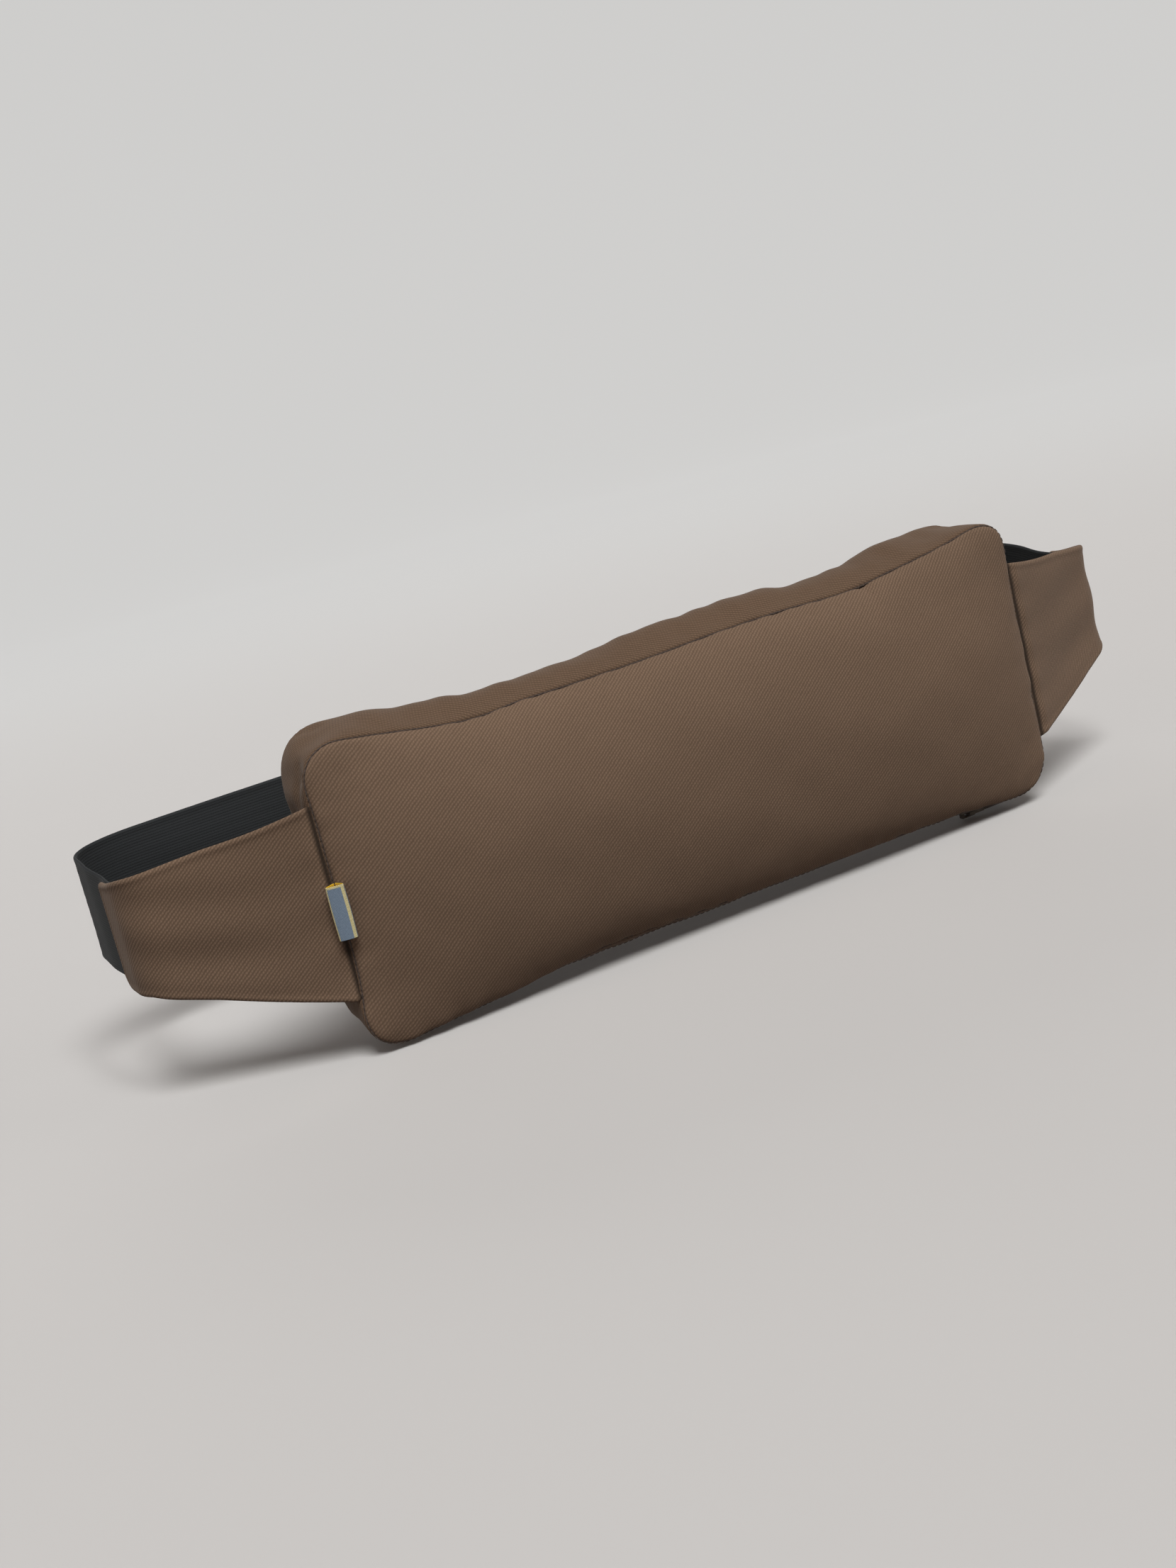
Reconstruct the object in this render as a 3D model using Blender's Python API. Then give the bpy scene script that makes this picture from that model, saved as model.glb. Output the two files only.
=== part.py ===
"""Lumbar support belt: a husk-filled box cushion with two cloth wings and an elastic belt that closes behind a chair's backrest.

Metres, +Z up. The origin is the centre of the cushion's flat back, where it rests on the backrest.
+X runs along the cushion, -Y faces the sitter, +Y goes into the backrest, so the belt is drawn closed around an empty backrest space.
"""

import math

import bmesh
import bpy

MM = 0.001

# cushion
HALF_LENGTH = 188.0 * MM      # half the cushion's length, over the seams
TOP = 69.0 * MM               # height of the top seam at the corners
BOTTOM = -67.0 * MM           # the bottom gusset, straight because the zip runs in it
CORNER_R = 20.0 * MM          # corner radius of the panels
TOP_PULL = 6.5 * MM           # how far the top seam dips between the corners
SIDE_PULL = 1.2 * MM          # how far the side seams pull in
SEAM_Y = -36.0 * MM           # plane of the front seam
CROWN = 19.0 * MM             # bulge of the front panel beyond its seam
CLOTH = 1.2 * MM              # cloth with its seam allowance
GAP = 0.4 * MM                # clearance between sewn pieces

# bottom gusset and zip
ZIP_Y = -18.0 * MM            # middle line of the zip
ZIP_SLOT = 11.0 * MM          # width between the folded edges of the two gusset strips
STRIP_END = 165.0 * MM        # half length of the gusset strips
TAPE = 0.8 * MM
TAPE_GAP = 1.8 * MM           # slot between the two tapes, in which the slider's neck runs
COIL_W = 2.7 * MM
COIL_H = 2.0 * MM
COIL_END = 153.6 * MM
SLIDER_X = 146.0 * MM         # middle of the slider with the zip closed
SLIDER_L = 14.0 * MM

# wings
WING_ROOT_X = 189.4 * MM
WING_ROOT_Y = -35.2 * MM
WING_ANGLE = math.radians(27.5)
SIDE_X = 270.0 * MM           # middle of the wing where it lies on the backrest's side
WING_BEND = 24.0 * MM         # bend around the backrest's front corner
WING_END_Y = 42.0 * MM
LAYER = 1.0 * MM              # each of a wing's two cloth layers
LAYER_OFFSET = 0.65 * MM      # each layer's middle from the wing's middle

# elastic belt
BELT_X = 267.6 * MM           # middle of the elastic beside the backrest, under the wing's lining
BELT_T = 1.5 * MM
BELT_TOP = 30.0 * MM
BELT_LOW = -20.0 * MM
BELT_START_Y = 25.0 * MM      # the elastic is sewn under the last 17 mm of the wing
BEND_Y = 84.0 * MM            # where it starts to turn behind the backrest
INNER_BACK_Y = 117.0 * MM     # left half, next to the backrest
OUTER_BACK_Y = 121.8 * MM     # right half, over the left one
INNER_TIP = 60.0 * MM
OUTER_TIP = -60.0 * MM
PATCH_T = 1.2 * MM
PATCH_HALF_W = 22.0 * MM

BROWN = (0.132, 0.088, 0.062)


def clear_scene():
    for o in list(bpy.data.objects):
        bpy.data.objects.remove(o, do_unlink=True)


def material(name, color, roughness, metallic=0.0):
    m = bpy.data.materials.new(name)
    m.use_nodes = True
    b = m.node_tree.nodes["Principled BSDF"]
    b.inputs["Base Color"].default_value = (*color, 1.0)
    b.inputs["Roughness"].default_value = roughness
    b.inputs["Metallic"].default_value = metallic
    return m


def finish(name, bm, mat, smooth=True, origin=None, parent=None):
    """Closes off a bmesh as an object, with its faces out and its origin where it turns or slides."""
    bmesh.ops.recalc_face_normals(bm, faces=bm.faces[:])
    if origin is not None:
        bmesh.ops.translate(bm, verts=bm.verts[:], vec=[-c for c in origin])
    me = bpy.data.meshes.new(name)
    bm.to_mesh(me)
    bm.free()
    if smooth:
        me.shade_smooth()
        me.set_sharp_from_angle(angle=math.radians(35))
    o = bpy.data.objects.new(name, me)
    bpy.context.scene.collection.objects.link(o)
    me.materials.append(mat)
    if origin is not None:
        o.location = origin
    if parent is not None:
        world = o.location.copy()
        o.parent = parent
        o.location = world - parent.location
    return o


def axis_empty(name, location):
    e = bpy.data.objects.new(name, None)
    e.empty_display_size = 0.02
    e.location = location
    bpy.context.scene.collection.objects.link(e)
    return e


def outline(half_length, top, bottom, r, top_pull, side_pull, n_long=14, n_side=5, n_corner=4):
    """Rounded rectangle in X and Z, anticlockwise seen from the front, whose top and sides pull in between the corners."""
    a = half_length
    corners = [(a - r, bottom + r, -90), (a - r, top - r, 0), (-(a - r), top - r, 90), (-(a - r), bottom + r, 180)]
    pts = []
    for k, (cx, cz, start) in enumerate(corners):
        for i in range(n_corner + 1):
            t = math.radians(start + 90.0 * i / n_corner)
            pts.append((cx + r * math.cos(t), cz + r * math.sin(t)))
        n = n_side if k % 2 == 0 else n_long
        t = math.radians(start + 90)
        x0, z0 = cx + r * math.cos(t), cz + r * math.sin(t)
        nx, nz, ns = corners[(k + 1) % 4]
        t = math.radians(ns)
        x1, z1 = nx + r * math.cos(t), nz + r * math.sin(t)
        for i in range(1, n):
            f = i / n
            x, z = x0 + (x1 - x0) * f, z0 + (z1 - z0) * f
            dip = math.sin(math.pi * f) ** 2 if k % 2 == 0 else 1 - (2 * f - 1) ** 4
            if k == 1:
                z -= top_pull * dip
            elif k == 0:
                x -= side_pull * dip
            elif k == 2:
                x += side_pull * dip
            pts.append((x, z))
    return pts


def toward_middle(p, s, half_length, mid_z=0.0):
    """A point on the ring at share s between the cushion's middle line and its outline."""
    spine = max(-1.0, min(1.0, p[0] / half_length)) * (half_length - 60 * MM)
    return (spine + (p[0] - spine) * s, mid_z + (p[1] - mid_z) * s)


def ring_solid(name, pts, shares, half_length, front, back, mat):
    """A sheet or lump between two surfaces y = front(s) and y = back(s), s being the ring's share from the middle (0) to the outline (1)."""
    bm = bmesh.new()
    sides = []
    for f in (front, back):
        rings = []
        for s in shares:
            rings.append([bm.verts.new((x, f(s), z)) for x, z in (toward_middle(p, s, half_length) for p in pts)])
        sides.append(rings)
    n = len(pts)
    for rings in sides:
        bm.faces.new(rings[0])
        for r0, r1 in zip(rings, rings[1:]):
            for i in range(n):
                bm.faces.new((r0[i], r0[(i + 1) % n], r1[(i + 1) % n], r1[i]))
    a, b = sides[0][-1], sides[1][-1]
    for i in range(n):
        bm.faces.new((a[i], a[(i + 1) % n], b[(i + 1) % n], b[i]))
    return finish(name, bm, mat)


def grid_solid(name, rows, mat, smooth=True, origin=None, parent=None):
    """rows[i][j] is a pair of points, one on each face of a sheet. The two faces are joined all round."""
    bm = bmesh.new()
    v = [[[bm.verts.new(p) for p in pair] for pair in row] for row in rows]
    ni, nj = len(v), len(v[0])
    for k in (0, 1):
        for i in range(ni - 1):
            for j in range(nj - 1):
                bm.faces.new((v[i][j][k], v[i + 1][j][k], v[i + 1][j + 1][k], v[i][j + 1][k]))
    edge = [(i, 0) for i in range(ni)] + [(ni - 1, j) for j in range(1, nj)]
    edge += [(i, nj - 1) for i in range(ni - 2, -1, -1)] + [(0, j) for j in range(nj - 2, 0, -1)]
    for (i0, j0), (i1, j1) in zip(edge, edge[1:] + edge[:1]):
        bm.faces.new((v[i0][j0][0], v[i1][j1][0], v[i1][j1][1], v[i0][j0][1]))
    return finish(name, bm, mat, smooth, origin, parent)


def add_box(bm, x0, x1, y0, y1, z0, z1, bevel=0.0):
    g = bmesh.ops.create_cube(bm, size=1.0)["verts"]
    for v in g:
        v.co.x = x0 if v.co.x < 0 else x1
        v.co.y = y0 if v.co.y < 0 else y1
        v.co.z = z0 if v.co.z < 0 else z1
    if bevel:
        edges = list({e for v in g for e in v.link_edges})
        bmesh.ops.bevel(bm, geom=edges, offset=bevel, segments=1, profile=0.5, affect="EDGES")


def box_object(name, dims, mat, bevel=0.0, origin=None, parent=None):
    bm = bmesh.new()
    add_box(bm, *dims, bevel=bevel)
    return finish(name, bm, mat, False, origin, parent)


def union(target, others):
    """Joins the other objects into target with exact Boolean unions, applied at once."""
    for o in others:
        mod = target.modifiers.new("join", "BOOLEAN")
        mod.operation = "UNION"
        mod.solver = "EXACT"
        mod.object = o
    dg = bpy.context.evaluated_depsgraph_get()
    dg.update()
    me = bpy.data.meshes.new_from_object(target.evaluated_get(dg))
    old = target.data
    target.modifiers.clear()
    target.data = me
    me.name = target.name
    bpy.data.meshes.remove(old)
    for o in others:
        bpy.data.objects.remove(o, do_unlink=True)


# ---------------------------------------------------------------- cushion

def boxing(name, front_pts, back_pts, y0, y1, bulge, t, mat):
    """A strip of cloth round the cushion's left side, top and right side, between the two panels' outlines."""
    rows = []
    n = len(front_pts)
    for i in range(n):
        row = []
        a, b = front_pts[max(i - 1, 0)], front_pts[min(i + 1, n - 1)]
        dx, dz = b[0] - a[0], b[1] - a[1]
        length = math.hypot(dx, dz)
        nx, nz = dz / length, -dx / length
        for j in range(4):
            f = j / 3
            x = front_pts[i][0] * (1 - f) + back_pts[i][0] * f
            z = front_pts[i][1] * (1 - f) + back_pts[i][1] * f
            out = bulge * math.sin(math.pi * f)
            x, z, y = x + nx * out, z + nz * out, y0 + (y1 - y0) * f
            row.append(((x, y, z), (x - nx * t, y, z - nz * t)))
        rows.append(row)
    return grid_solid(name, rows, mat)


def make_cushion(cloth, calico, husk, label_mat):
    front = outline(HALF_LENGTH, TOP, BOTTOM, CORNER_R, TOP_PULL, SIDE_PULL)
    back = outline(HALF_LENGTH, TOP, BOTTOM, CORNER_R, TOP_PULL * 0.45, SIDE_PULL)
    shares = (0.16, 0.42, 0.64, 0.82, 0.93, 1.0)

    def crown(s):
        return SEAM_Y - CROWN * (1 - s ** 2.6)

    ring_solid("front_panel", front, shares, HALF_LENGTH, crown, lambda s: crown(s) + CLOTH, cloth)
    ring_solid("back_panel", back, (0.5, 1.0), HALF_LENGTH, lambda s: -CLOTH, lambda s: 0.0, cloth)

    # the outline starts at the right end of the bottom edge, so leaving out the bottom's own points gives the open run
    run_f = [p for p in front if p[1] > BOTTOM + 1e-9 or abs(p[0]) >= HALF_LENGTH - CORNER_R - 1e-9]
    run_b = [p for p in back if p[1] > BOTTOM + 1e-9 or abs(p[0]) >= HALF_LENGTH - CORNER_R - 1e-9]
    boxing("boxing_strip", run_f, run_b, SEAM_Y + CLOTH + GAP, -CLOTH - GAP, 1.5 * MM, CLOTH, cloth)

    z0, z1 = BOTTOM, BOTTOM + CLOTH
    box_object("zip_strip_front", (-STRIP_END, STRIP_END, SEAM_Y + CLOTH + GAP, ZIP_Y - ZIP_SLOT / 2, z0, z1), cloth)
    box_object("zip_strip_back", (-STRIP_END, STRIP_END, ZIP_Y + ZIP_SLOT / 2, -CLOTH - GAP, z0, z1), cloth)

    # inner bag: two calico panels sewn round the rim, holding the husks
    bag_l = HALF_LENGTH - 8 * MM
    bag = outline(bag_l, TOP - 12 * MM, BOTTOM + 11 * MM, 26 * MM, 3 * MM, 1 * MM, 12, 4, 3)
    bag_shares = (0.2, 0.55, 0.78, 0.91, 1.0)
    sheet = 0.8 * MM

    def bag_front(s):
        return -18.9 * MM - 31 * MM * (1 - s ** 4)

    def bag_back(s):
        return -17.8 * MM + 13.6 * MM * (1 - s ** 6)

    ring_solid("inner_bag_front", bag, bag_shares, bag_l, bag_front, lambda s: bag_front(s) + sheet, calico)
    ring_solid("inner_bag_back", bag, bag_shares, bag_l, bag_back, lambda s: bag_back(s) + sheet, calico)
    fill_shares = (0.2, 0.55, 0.78, 0.91, 0.96)
    ring_solid("husk_fill", bag, fill_shares, bag_l, lambda s: bag_front(s) + sheet + 0.5 * MM, lambda s: bag_back(s) - 0.5 * MM, husk)

    # folded label sewn into the left front seam: a loop of ribbon, open above and below
    apex = (-HALF_LENGTH - 0.9 * MM, SEAM_Y - 0.9 * MM)
    out = (-math.sin(WING_ANGLE), -math.cos(WING_ANGLE))
    side = (out[1], -out[0])
    wall = 0.5 * MM
    shape = [(0.6, 0.2), (3.3, 2.6), (4.6, 4.4), (4.3, 5.5), (1.5, 5.9), (-1.5, 5.9), (-4.3, 5.5), (-4.6, 4.4), (-3.3, 2.6), (-0.6, 0.2)]
    outer = [(apex[0] + side[0] * a * MM + out[0] * b * MM, apex[1] + side[1] * a * MM + out[1] * b * MM) for a, b in shape]
    cx = sum(p[0] for p in outer) / len(outer)
    cy = sum(p[1] for p in outer) / len(outer)
    inner = [(cx + (x - cx) * (1 - wall / (2.4 * MM) * 0.8), cy + (y - cy) * (1 - wall / (2.4 * MM) * 0.8)) for x, y in outer]
    bm = bmesh.new()
    low, high = -17 * MM, 10 * MM
    loops = [[bm.verts.new((x, y, z)) for x, y in ring] for z in (low, high) for ring in (outer, inner)]
    n = len(outer)
    for i in range(n):
        k = (i + 1) % n
        ol, il, oh, ih = loops
        bm.faces.new((ol[i], ol[k], oh[k], oh[i]))
        bm.faces.new((il[i], il[k], ih[k], ih[i]))
        bm.faces.new((ol[i], ol[k], il[k], il[i]))
        bm.faces.new((oh[i], oh[k], ih[k], ih[i]))
    finish("side_label", bm, label_mat, False)


# ---------------------------------------------------------------- zip

def make_zip(tape_mat, coil_mat, metal):
    tz0 = BOTTOM + CLOTH + 0.3 * MM
    tz1 = tz0 + TAPE
    inner = TAPE_GAP / 2
    box_object("zip_tape_front", (-STRIP_END, STRIP_END, ZIP_Y - 12 * MM, ZIP_Y - inner, tz0, tz1), tape_mat)
    box_object("zip_tape_back", (-STRIP_END, STRIP_END, ZIP_Y + inner, ZIP_Y + 12 * MM, tz0, tz1), tape_mat)
    cz1 = tz0 - 0.3 * MM
    cz0 = cz1 - COIL_H
    box_object("zip_coil_front", (-COIL_END, COIL_END, ZIP_Y - inner - COIL_W, ZIP_Y - inner, cz0, cz1), coil_mat, 0.4 * MM)
    box_object("zip_coil_back", (-COIL_END, COIL_END, ZIP_Y + inner, ZIP_Y + inner + COIL_W, cz0, cz1), coil_mat, 0.4 * MM)
    e0, e1 = COIL_END + 0.3 * MM, COIL_END + 3.2 * MM
    box_object("zip_bottom_stop", (-e1, -e0, ZIP_Y - 4 * MM, ZIP_Y + 4 * MM, cz0 - 0.3 * MM, cz1), metal, 0.3 * MM)
    box_object("zip_top_stop_front", (e0, e1, ZIP_Y - 4 * MM, ZIP_Y - 1 * MM, cz0 - 0.3 * MM, cz1), metal, 0.3 * MM)
    box_object("zip_top_stop_back", (e0, e1, ZIP_Y + 1 * MM, ZIP_Y + 4 * MM, cz0 - 0.3 * MM, cz1), metal, 0.3 * MM)

    # slider: outer plate with two flanges, a neck through the slot, an inner plate, and a bridge for the pull
    x0, x1 = SLIDER_X - SLIDER_L / 2, SLIDER_X + SLIDER_L / 2
    pz1 = cz0 - 0.35 * MM
    pz0 = pz1 - 1.4 * MM
    travel = axis_empty("slider_axis", (SLIDER_X, ZIP_Y, pz1))
    flange = 5.0 * MM
    slider = box_object("zip_slider", (x0, x1, ZIP_Y - flange, ZIP_Y + flange, pz0, pz1), metal, 0.5 * MM)
    joined = [
        box_object("flange_a", (x0 + 0.7 * MM, x1 - 0.7 * MM, ZIP_Y - flange + 0.05 * MM, ZIP_Y - flange + 1.0 * MM, pz0 + 0.7 * MM, tz0 - 0.35 * MM), metal),
        box_object("flange_b", (x0 + 0.7 * MM, x1 - 0.7 * MM, ZIP_Y + flange - 1.0 * MM, ZIP_Y + flange - 0.05 * MM, pz0 + 0.7 * MM, tz0 - 0.35 * MM), metal),
        box_object("neck", (x1 - 4.5 * MM, x1 - 0.8 * MM, ZIP_Y - 0.55 * MM, ZIP_Y + 0.55 * MM, pz0 + 0.5 * MM, tz1 + 0.9 * MM), metal),
        box_object("inner_plate", (x0 + 0.6 * MM, x1 - 0.6 * MM, ZIP_Y - 4.6 * MM, ZIP_Y + 4.6 * MM, tz1 + 0.35 * MM, tz1 + 1.55 * MM), metal),
    ]
    bridge_low = pz0 - 3.3 * MM
    joined += [
        box_object("post_a", (SLIDER_X - 4.0 * MM, SLIDER_X - 2.6 * MM, ZIP_Y - 1.3 * MM, ZIP_Y + 1.3 * MM, bridge_low + 0.4 * MM, pz0 + 0.6 * MM), metal),
        box_object("post_b", (SLIDER_X + 2.6 * MM, SLIDER_X + 4.0 * MM, ZIP_Y - 1.3 * MM, ZIP_Y + 1.3 * MM, bridge_low + 0.4 * MM, pz0 + 0.6 * MM), metal),
        box_object("bar", (SLIDER_X - 4.0 * MM, SLIDER_X + 4.0 * MM, ZIP_Y - 1.3 * MM, ZIP_Y + 1.3 * MM, bridge_low, bridge_low + 1.1 * MM), metal, 0.3 * MM),
    ]
    union(slider, joined)

    # pull: a cross bar in the bridge, two arms and a tab; it lies along the zip and turns on the cross bar
    pivot = (SLIDER_X, ZIP_Y, pz0 - 1.2 * MM)
    turn = axis_empty("pull_axis", pivot)
    bm = bmesh.new()
    r = 0.7 * MM
    add_box(bm, pivot[0] - r, pivot[0] + r, pivot[1] - 3.0 * MM, pivot[1] + 3.0 * MM, pivot[2] - r, pivot[2] + r, 0.3 * MM)
    pull = finish("zip_pull", bm, metal, False, pivot, turn)
    bpy.context.view_layer.update()
    arms = [
        box_object("arm_a", (pivot[0] - r, pivot[0] + 8 * MM, pivot[1] - 3.6 * MM, pivot[1] - 2.2 * MM, pivot[2] - r, pivot[2] + r), metal),
        box_object("arm_b", (pivot[0] - r, pivot[0] + 8 * MM, pivot[1] + 2.2 * MM, pivot[1] + 3.6 * MM, pivot[2] - r, pivot[2] + r), metal),
        box_object("tab", (pivot[0] + 6.5 * MM, pivot[0] + 25 * MM, pivot[1] - 3.4 * MM, pivot[1] + 3.4 * MM, pivot[2] - 0.6 * MM, pivot[2] + 0.6 * MM), metal, 0.4 * MM),
    ]
    union(pull, arms)
    for o, e in ((slider, travel),):
        for v in o.data.vertices:
            v.co = v.co - e.location
        o.parent = e


# ---------------------------------------------------------------- wings and belt

WING_LINE = (SIDE_X - WING_BEND * (1 - math.sin(WING_ANGLE)) - WING_ROOT_X) / math.cos(WING_ANGLE)
WING_ARC = WING_BEND * (math.pi / 2 - WING_ANGLE)
WING_TURN_Y = WING_ROOT_Y + WING_LINE * math.sin(WING_ANGLE) + WING_BEND * math.cos(WING_ANGLE)
WING_LENGTH = WING_LINE + WING_ARC + WING_END_Y - WING_TURN_Y


def wing_at(s, offset):
    """Point on the right wing's middle line at length s from its seam, moved out by offset: straight, round the backrest's corner, straight."""
    if s <= WING_LINE:
        h = WING_ANGLE
        x, y = WING_ROOT_X + s * math.cos(h), WING_ROOT_Y + s * math.sin(h)
    elif s <= WING_LINE + WING_ARC:
        h = WING_ANGLE + (s - WING_LINE) / WING_BEND
        x = WING_ROOT_X + WING_LINE * math.cos(WING_ANGLE) + WING_BEND * (math.sin(h) - math.sin(WING_ANGLE))
        y = WING_ROOT_Y + WING_LINE * math.sin(WING_ANGLE) + WING_BEND * (math.cos(WING_ANGLE) - math.cos(h))
    else:
        h = math.pi / 2
        x, y = SIDE_X, WING_TURN_Y + s - WING_LINE - WING_ARC
    return x + offset * math.sin(h), y - offset * math.cos(h)


def wing_edges(s):
    """Height of a wing's lower and upper edge: wide at the cushion, narrowing to the elastic's width, with rounded outer corners."""
    f = s / WING_LENGTH
    top = 31 * MM + 15 * MM * (1 - f) ** 1.2
    low = -21 * MM - 23 * MM * max(0.0, 1 - s / (90 * MM)) ** 1.05
    for r, up in ((9 * MM, True), (5 * MM, False)):
        d = s - (WING_LENGTH - r)
        if d > 0:
            cut = r - math.sqrt(max(r * r - d * d, 0.0))
            if up:
                low += cut
            else:
                top -= cut
    return low, top


def make_wing(side, face, layer_middle, mat, name, parent, origin):
    stations = [WING_LINE * i / 5 for i in range(6)] + [WING_LINE + WING_ARC * i / 5 for i in range(1, 6)]
    last = WING_LENGTH - 9 * MM
    stations = [s for s in stations if s < last - 1 * MM]
    stations += [last + 9 * MM * f for f in (0.0, 0.35, 0.6, 0.8, 0.93, 1.0)]
    rows = []
    for s in stations:
        low, high = wing_edges(s)
        row = []
        for j in range(4):
            z = low + (high - low) * j / 3
            pair = []
            for d in (layer_middle - LAYER / 2, layer_middle + LAYER / 2):
                x, y = wing_at(s, d)
                pair.append((side * x, y, z))
            row.append(tuple(pair))
        rows.append(row)
    return grid_solid(name, rows, mat, True, origin, parent)


def belt_path(back_y, tip_x):
    """Middle line of the right half of the elastic: up the backrest's side, round the corner, and along the back to its tip."""
    r = back_y - BEND_Y
    pts = [((BELT_X, BELT_START_Y + (BEND_Y - BELT_START_Y) * i / 3), (1.0, 0.0)) for i in range(4)]
    for i in range(1, 11):
        t = math.radians(9 * i)
        pts.append(((BELT_X - r + r * math.cos(t), BEND_Y + r * math.sin(t)), (math.cos(t), math.sin(t))))
    x0 = BELT_X - r
    for i in range(1, 7):
        pts.append(((x0 + (tip_x - x0) * i / 6, back_y), (0.0, 1.0)))
    return pts


def make_belt(name, side, back_y, tip_x, mat, parent, origin):
    rows = []
    for (x, y), (nx, ny) in belt_path(back_y, tip_x):
        row = []
        for z in (BELT_LOW, BELT_TOP):
            pair = [(side * (x + nx * d), y + ny * d, z) for d in (-BELT_T / 2, BELT_T / 2)]
            row.append(tuple(pair))
        rows.append(row)
    return grid_solid(name, rows, mat, True, origin, parent)


def make_belt_side(side, word, cloth, lining, elastic):
    root = (side * WING_ROOT_X, WING_ROOT_Y, 0.0)
    end = (side * (BELT_X + BELT_T / 2 + 0.25 * MM), WING_END_Y, 0.0)
    wing_axis = axis_empty("wing_axis_" + word, root)
    belt_axis = axis_empty("belt_axis_" + word, end)
    make_wing(side, "face", LAYER_OFFSET, cloth, "wing_" + word + "_face", wing_axis, root)
    make_wing(side, "lining", -LAYER_OFFSET, lining, "wing_" + word + "_lining", wing_axis, root)
    outer = side > 0
    back = OUTER_BACK_Y if outer else INNER_BACK_Y
    tip = OUTER_TIP if outer else -INNER_TIP
    make_belt("elastic_" + word, side, back, tip, elastic, belt_axis, end)
    return belt_axis, end


def main():
    clear_scene()
    cloth = material("brown_twill", BROWN, 0.88)
    lining = material("brown_lining", (0.115, 0.076, 0.054), 0.9)
    calico = material("calico", (0.62, 0.56, 0.45), 0.92)
    husk = material("husk", (0.09, 0.055, 0.035), 0.95)
    ribbon = material("label_ribbon", (0.17, 0.22, 0.27), 0.7)
    tape_mat = material("zip_tape", (0.10, 0.068, 0.048), 0.85)
    coil_mat = material("zip_coil", (0.09, 0.06, 0.045), 0.5)
    metal = material("zip_metal", (0.09, 0.075, 0.06), 0.4, 0.8)
    elastic = material("black_elastic", (0.028, 0.034, 0.037), 0.75)
    hook_mat = material("hook_tape", (0.02, 0.021, 0.023), 0.7)
    loop_mat = material("loop_tape", (0.02, 0.021, 0.023), 0.95)

    make_cushion(cloth, calico, husk, ribbon)
    make_zip(tape_mat, coil_mat, metal)
    right_axis, right_end = make_belt_side(1, "right", cloth, lining, elastic)
    left_axis, left_end = make_belt_side(-1, "left", cloth, lining, elastic)

    # closure behind the backrest: the loop tape on the left half's outside, the hook tape inside the right half's tip
    mid = (BELT_TOP + BELT_LOW) / 2
    z0, z1 = mid - PATCH_HALF_W, mid + PATCH_HALF_W
    ly0 = INNER_BACK_Y + BELT_T / 2 + 0.3 * MM
    box_object("loop_patch", (-68 * MM, 56 * MM, ly0, ly0 + PATCH_T, z0, z1), loop_mat, 0.0, left_end, left_axis)
    hy1 = OUTER_BACK_Y - BELT_T / 2 - 0.3 * MM
    box_object("hook_patch", (-55 * MM, 15 * MM, hy1 - PATCH_T, hy1, z0, z1), hook_mat, 0.0, right_end, right_axis)
    bpy.context.view_layer.update()


main()
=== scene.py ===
"""Looks of the lumbar support belt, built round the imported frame: a stuffed twill cushion, its wings, elastic, closure, label and zip."""
import math

import bpy
import numpy as np
from mathutils import Matrix, Vector


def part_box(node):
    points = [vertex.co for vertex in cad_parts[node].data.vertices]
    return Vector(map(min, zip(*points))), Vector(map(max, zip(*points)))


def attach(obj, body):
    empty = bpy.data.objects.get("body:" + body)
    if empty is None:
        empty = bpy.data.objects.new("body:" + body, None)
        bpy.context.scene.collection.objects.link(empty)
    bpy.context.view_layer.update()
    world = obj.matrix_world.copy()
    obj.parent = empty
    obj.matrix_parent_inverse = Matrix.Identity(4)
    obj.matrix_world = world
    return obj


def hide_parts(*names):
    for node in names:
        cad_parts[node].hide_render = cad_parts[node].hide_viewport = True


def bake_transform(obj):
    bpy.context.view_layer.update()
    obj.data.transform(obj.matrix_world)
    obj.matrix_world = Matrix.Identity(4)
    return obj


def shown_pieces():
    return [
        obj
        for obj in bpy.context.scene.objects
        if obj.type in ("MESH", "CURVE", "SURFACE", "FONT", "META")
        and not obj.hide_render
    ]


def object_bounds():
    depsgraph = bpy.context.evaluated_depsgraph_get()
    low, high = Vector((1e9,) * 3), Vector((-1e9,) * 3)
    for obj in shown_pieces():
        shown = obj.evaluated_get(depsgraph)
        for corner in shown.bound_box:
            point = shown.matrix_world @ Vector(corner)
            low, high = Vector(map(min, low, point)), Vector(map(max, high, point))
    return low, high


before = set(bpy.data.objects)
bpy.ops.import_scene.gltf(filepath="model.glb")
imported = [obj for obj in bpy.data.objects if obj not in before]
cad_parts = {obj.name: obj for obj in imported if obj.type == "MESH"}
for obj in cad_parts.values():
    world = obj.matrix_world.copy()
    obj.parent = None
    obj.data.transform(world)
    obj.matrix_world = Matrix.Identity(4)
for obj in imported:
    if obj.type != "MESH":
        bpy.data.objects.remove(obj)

MM = 0.001
CAD_LO, CAD_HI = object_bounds()
SCENE = bpy.context.scene

# ------------------------------------------------------------------ sizes read from the frame
_fl, _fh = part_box("front_panel")
A, T, B = _fh.x, _fh.z, _fl.z            # half length, top and bottom of the front seam at the corners
_sl, _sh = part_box("boxing_strip")
T = 69.0 * MM
SY = _fh.y - 1.2 * MM                    # plane of the front seam
CROWN_Y = _fl.y                          # front of the crown
R = 20.0 * MM                            # corner radius
ZIP_Y = (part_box("zip_slider")[0].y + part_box("zip_slider")[1].y) / 2
SLOT = 5.5 * MM
STRIP_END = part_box("zip_strip_front")[1].x

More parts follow.
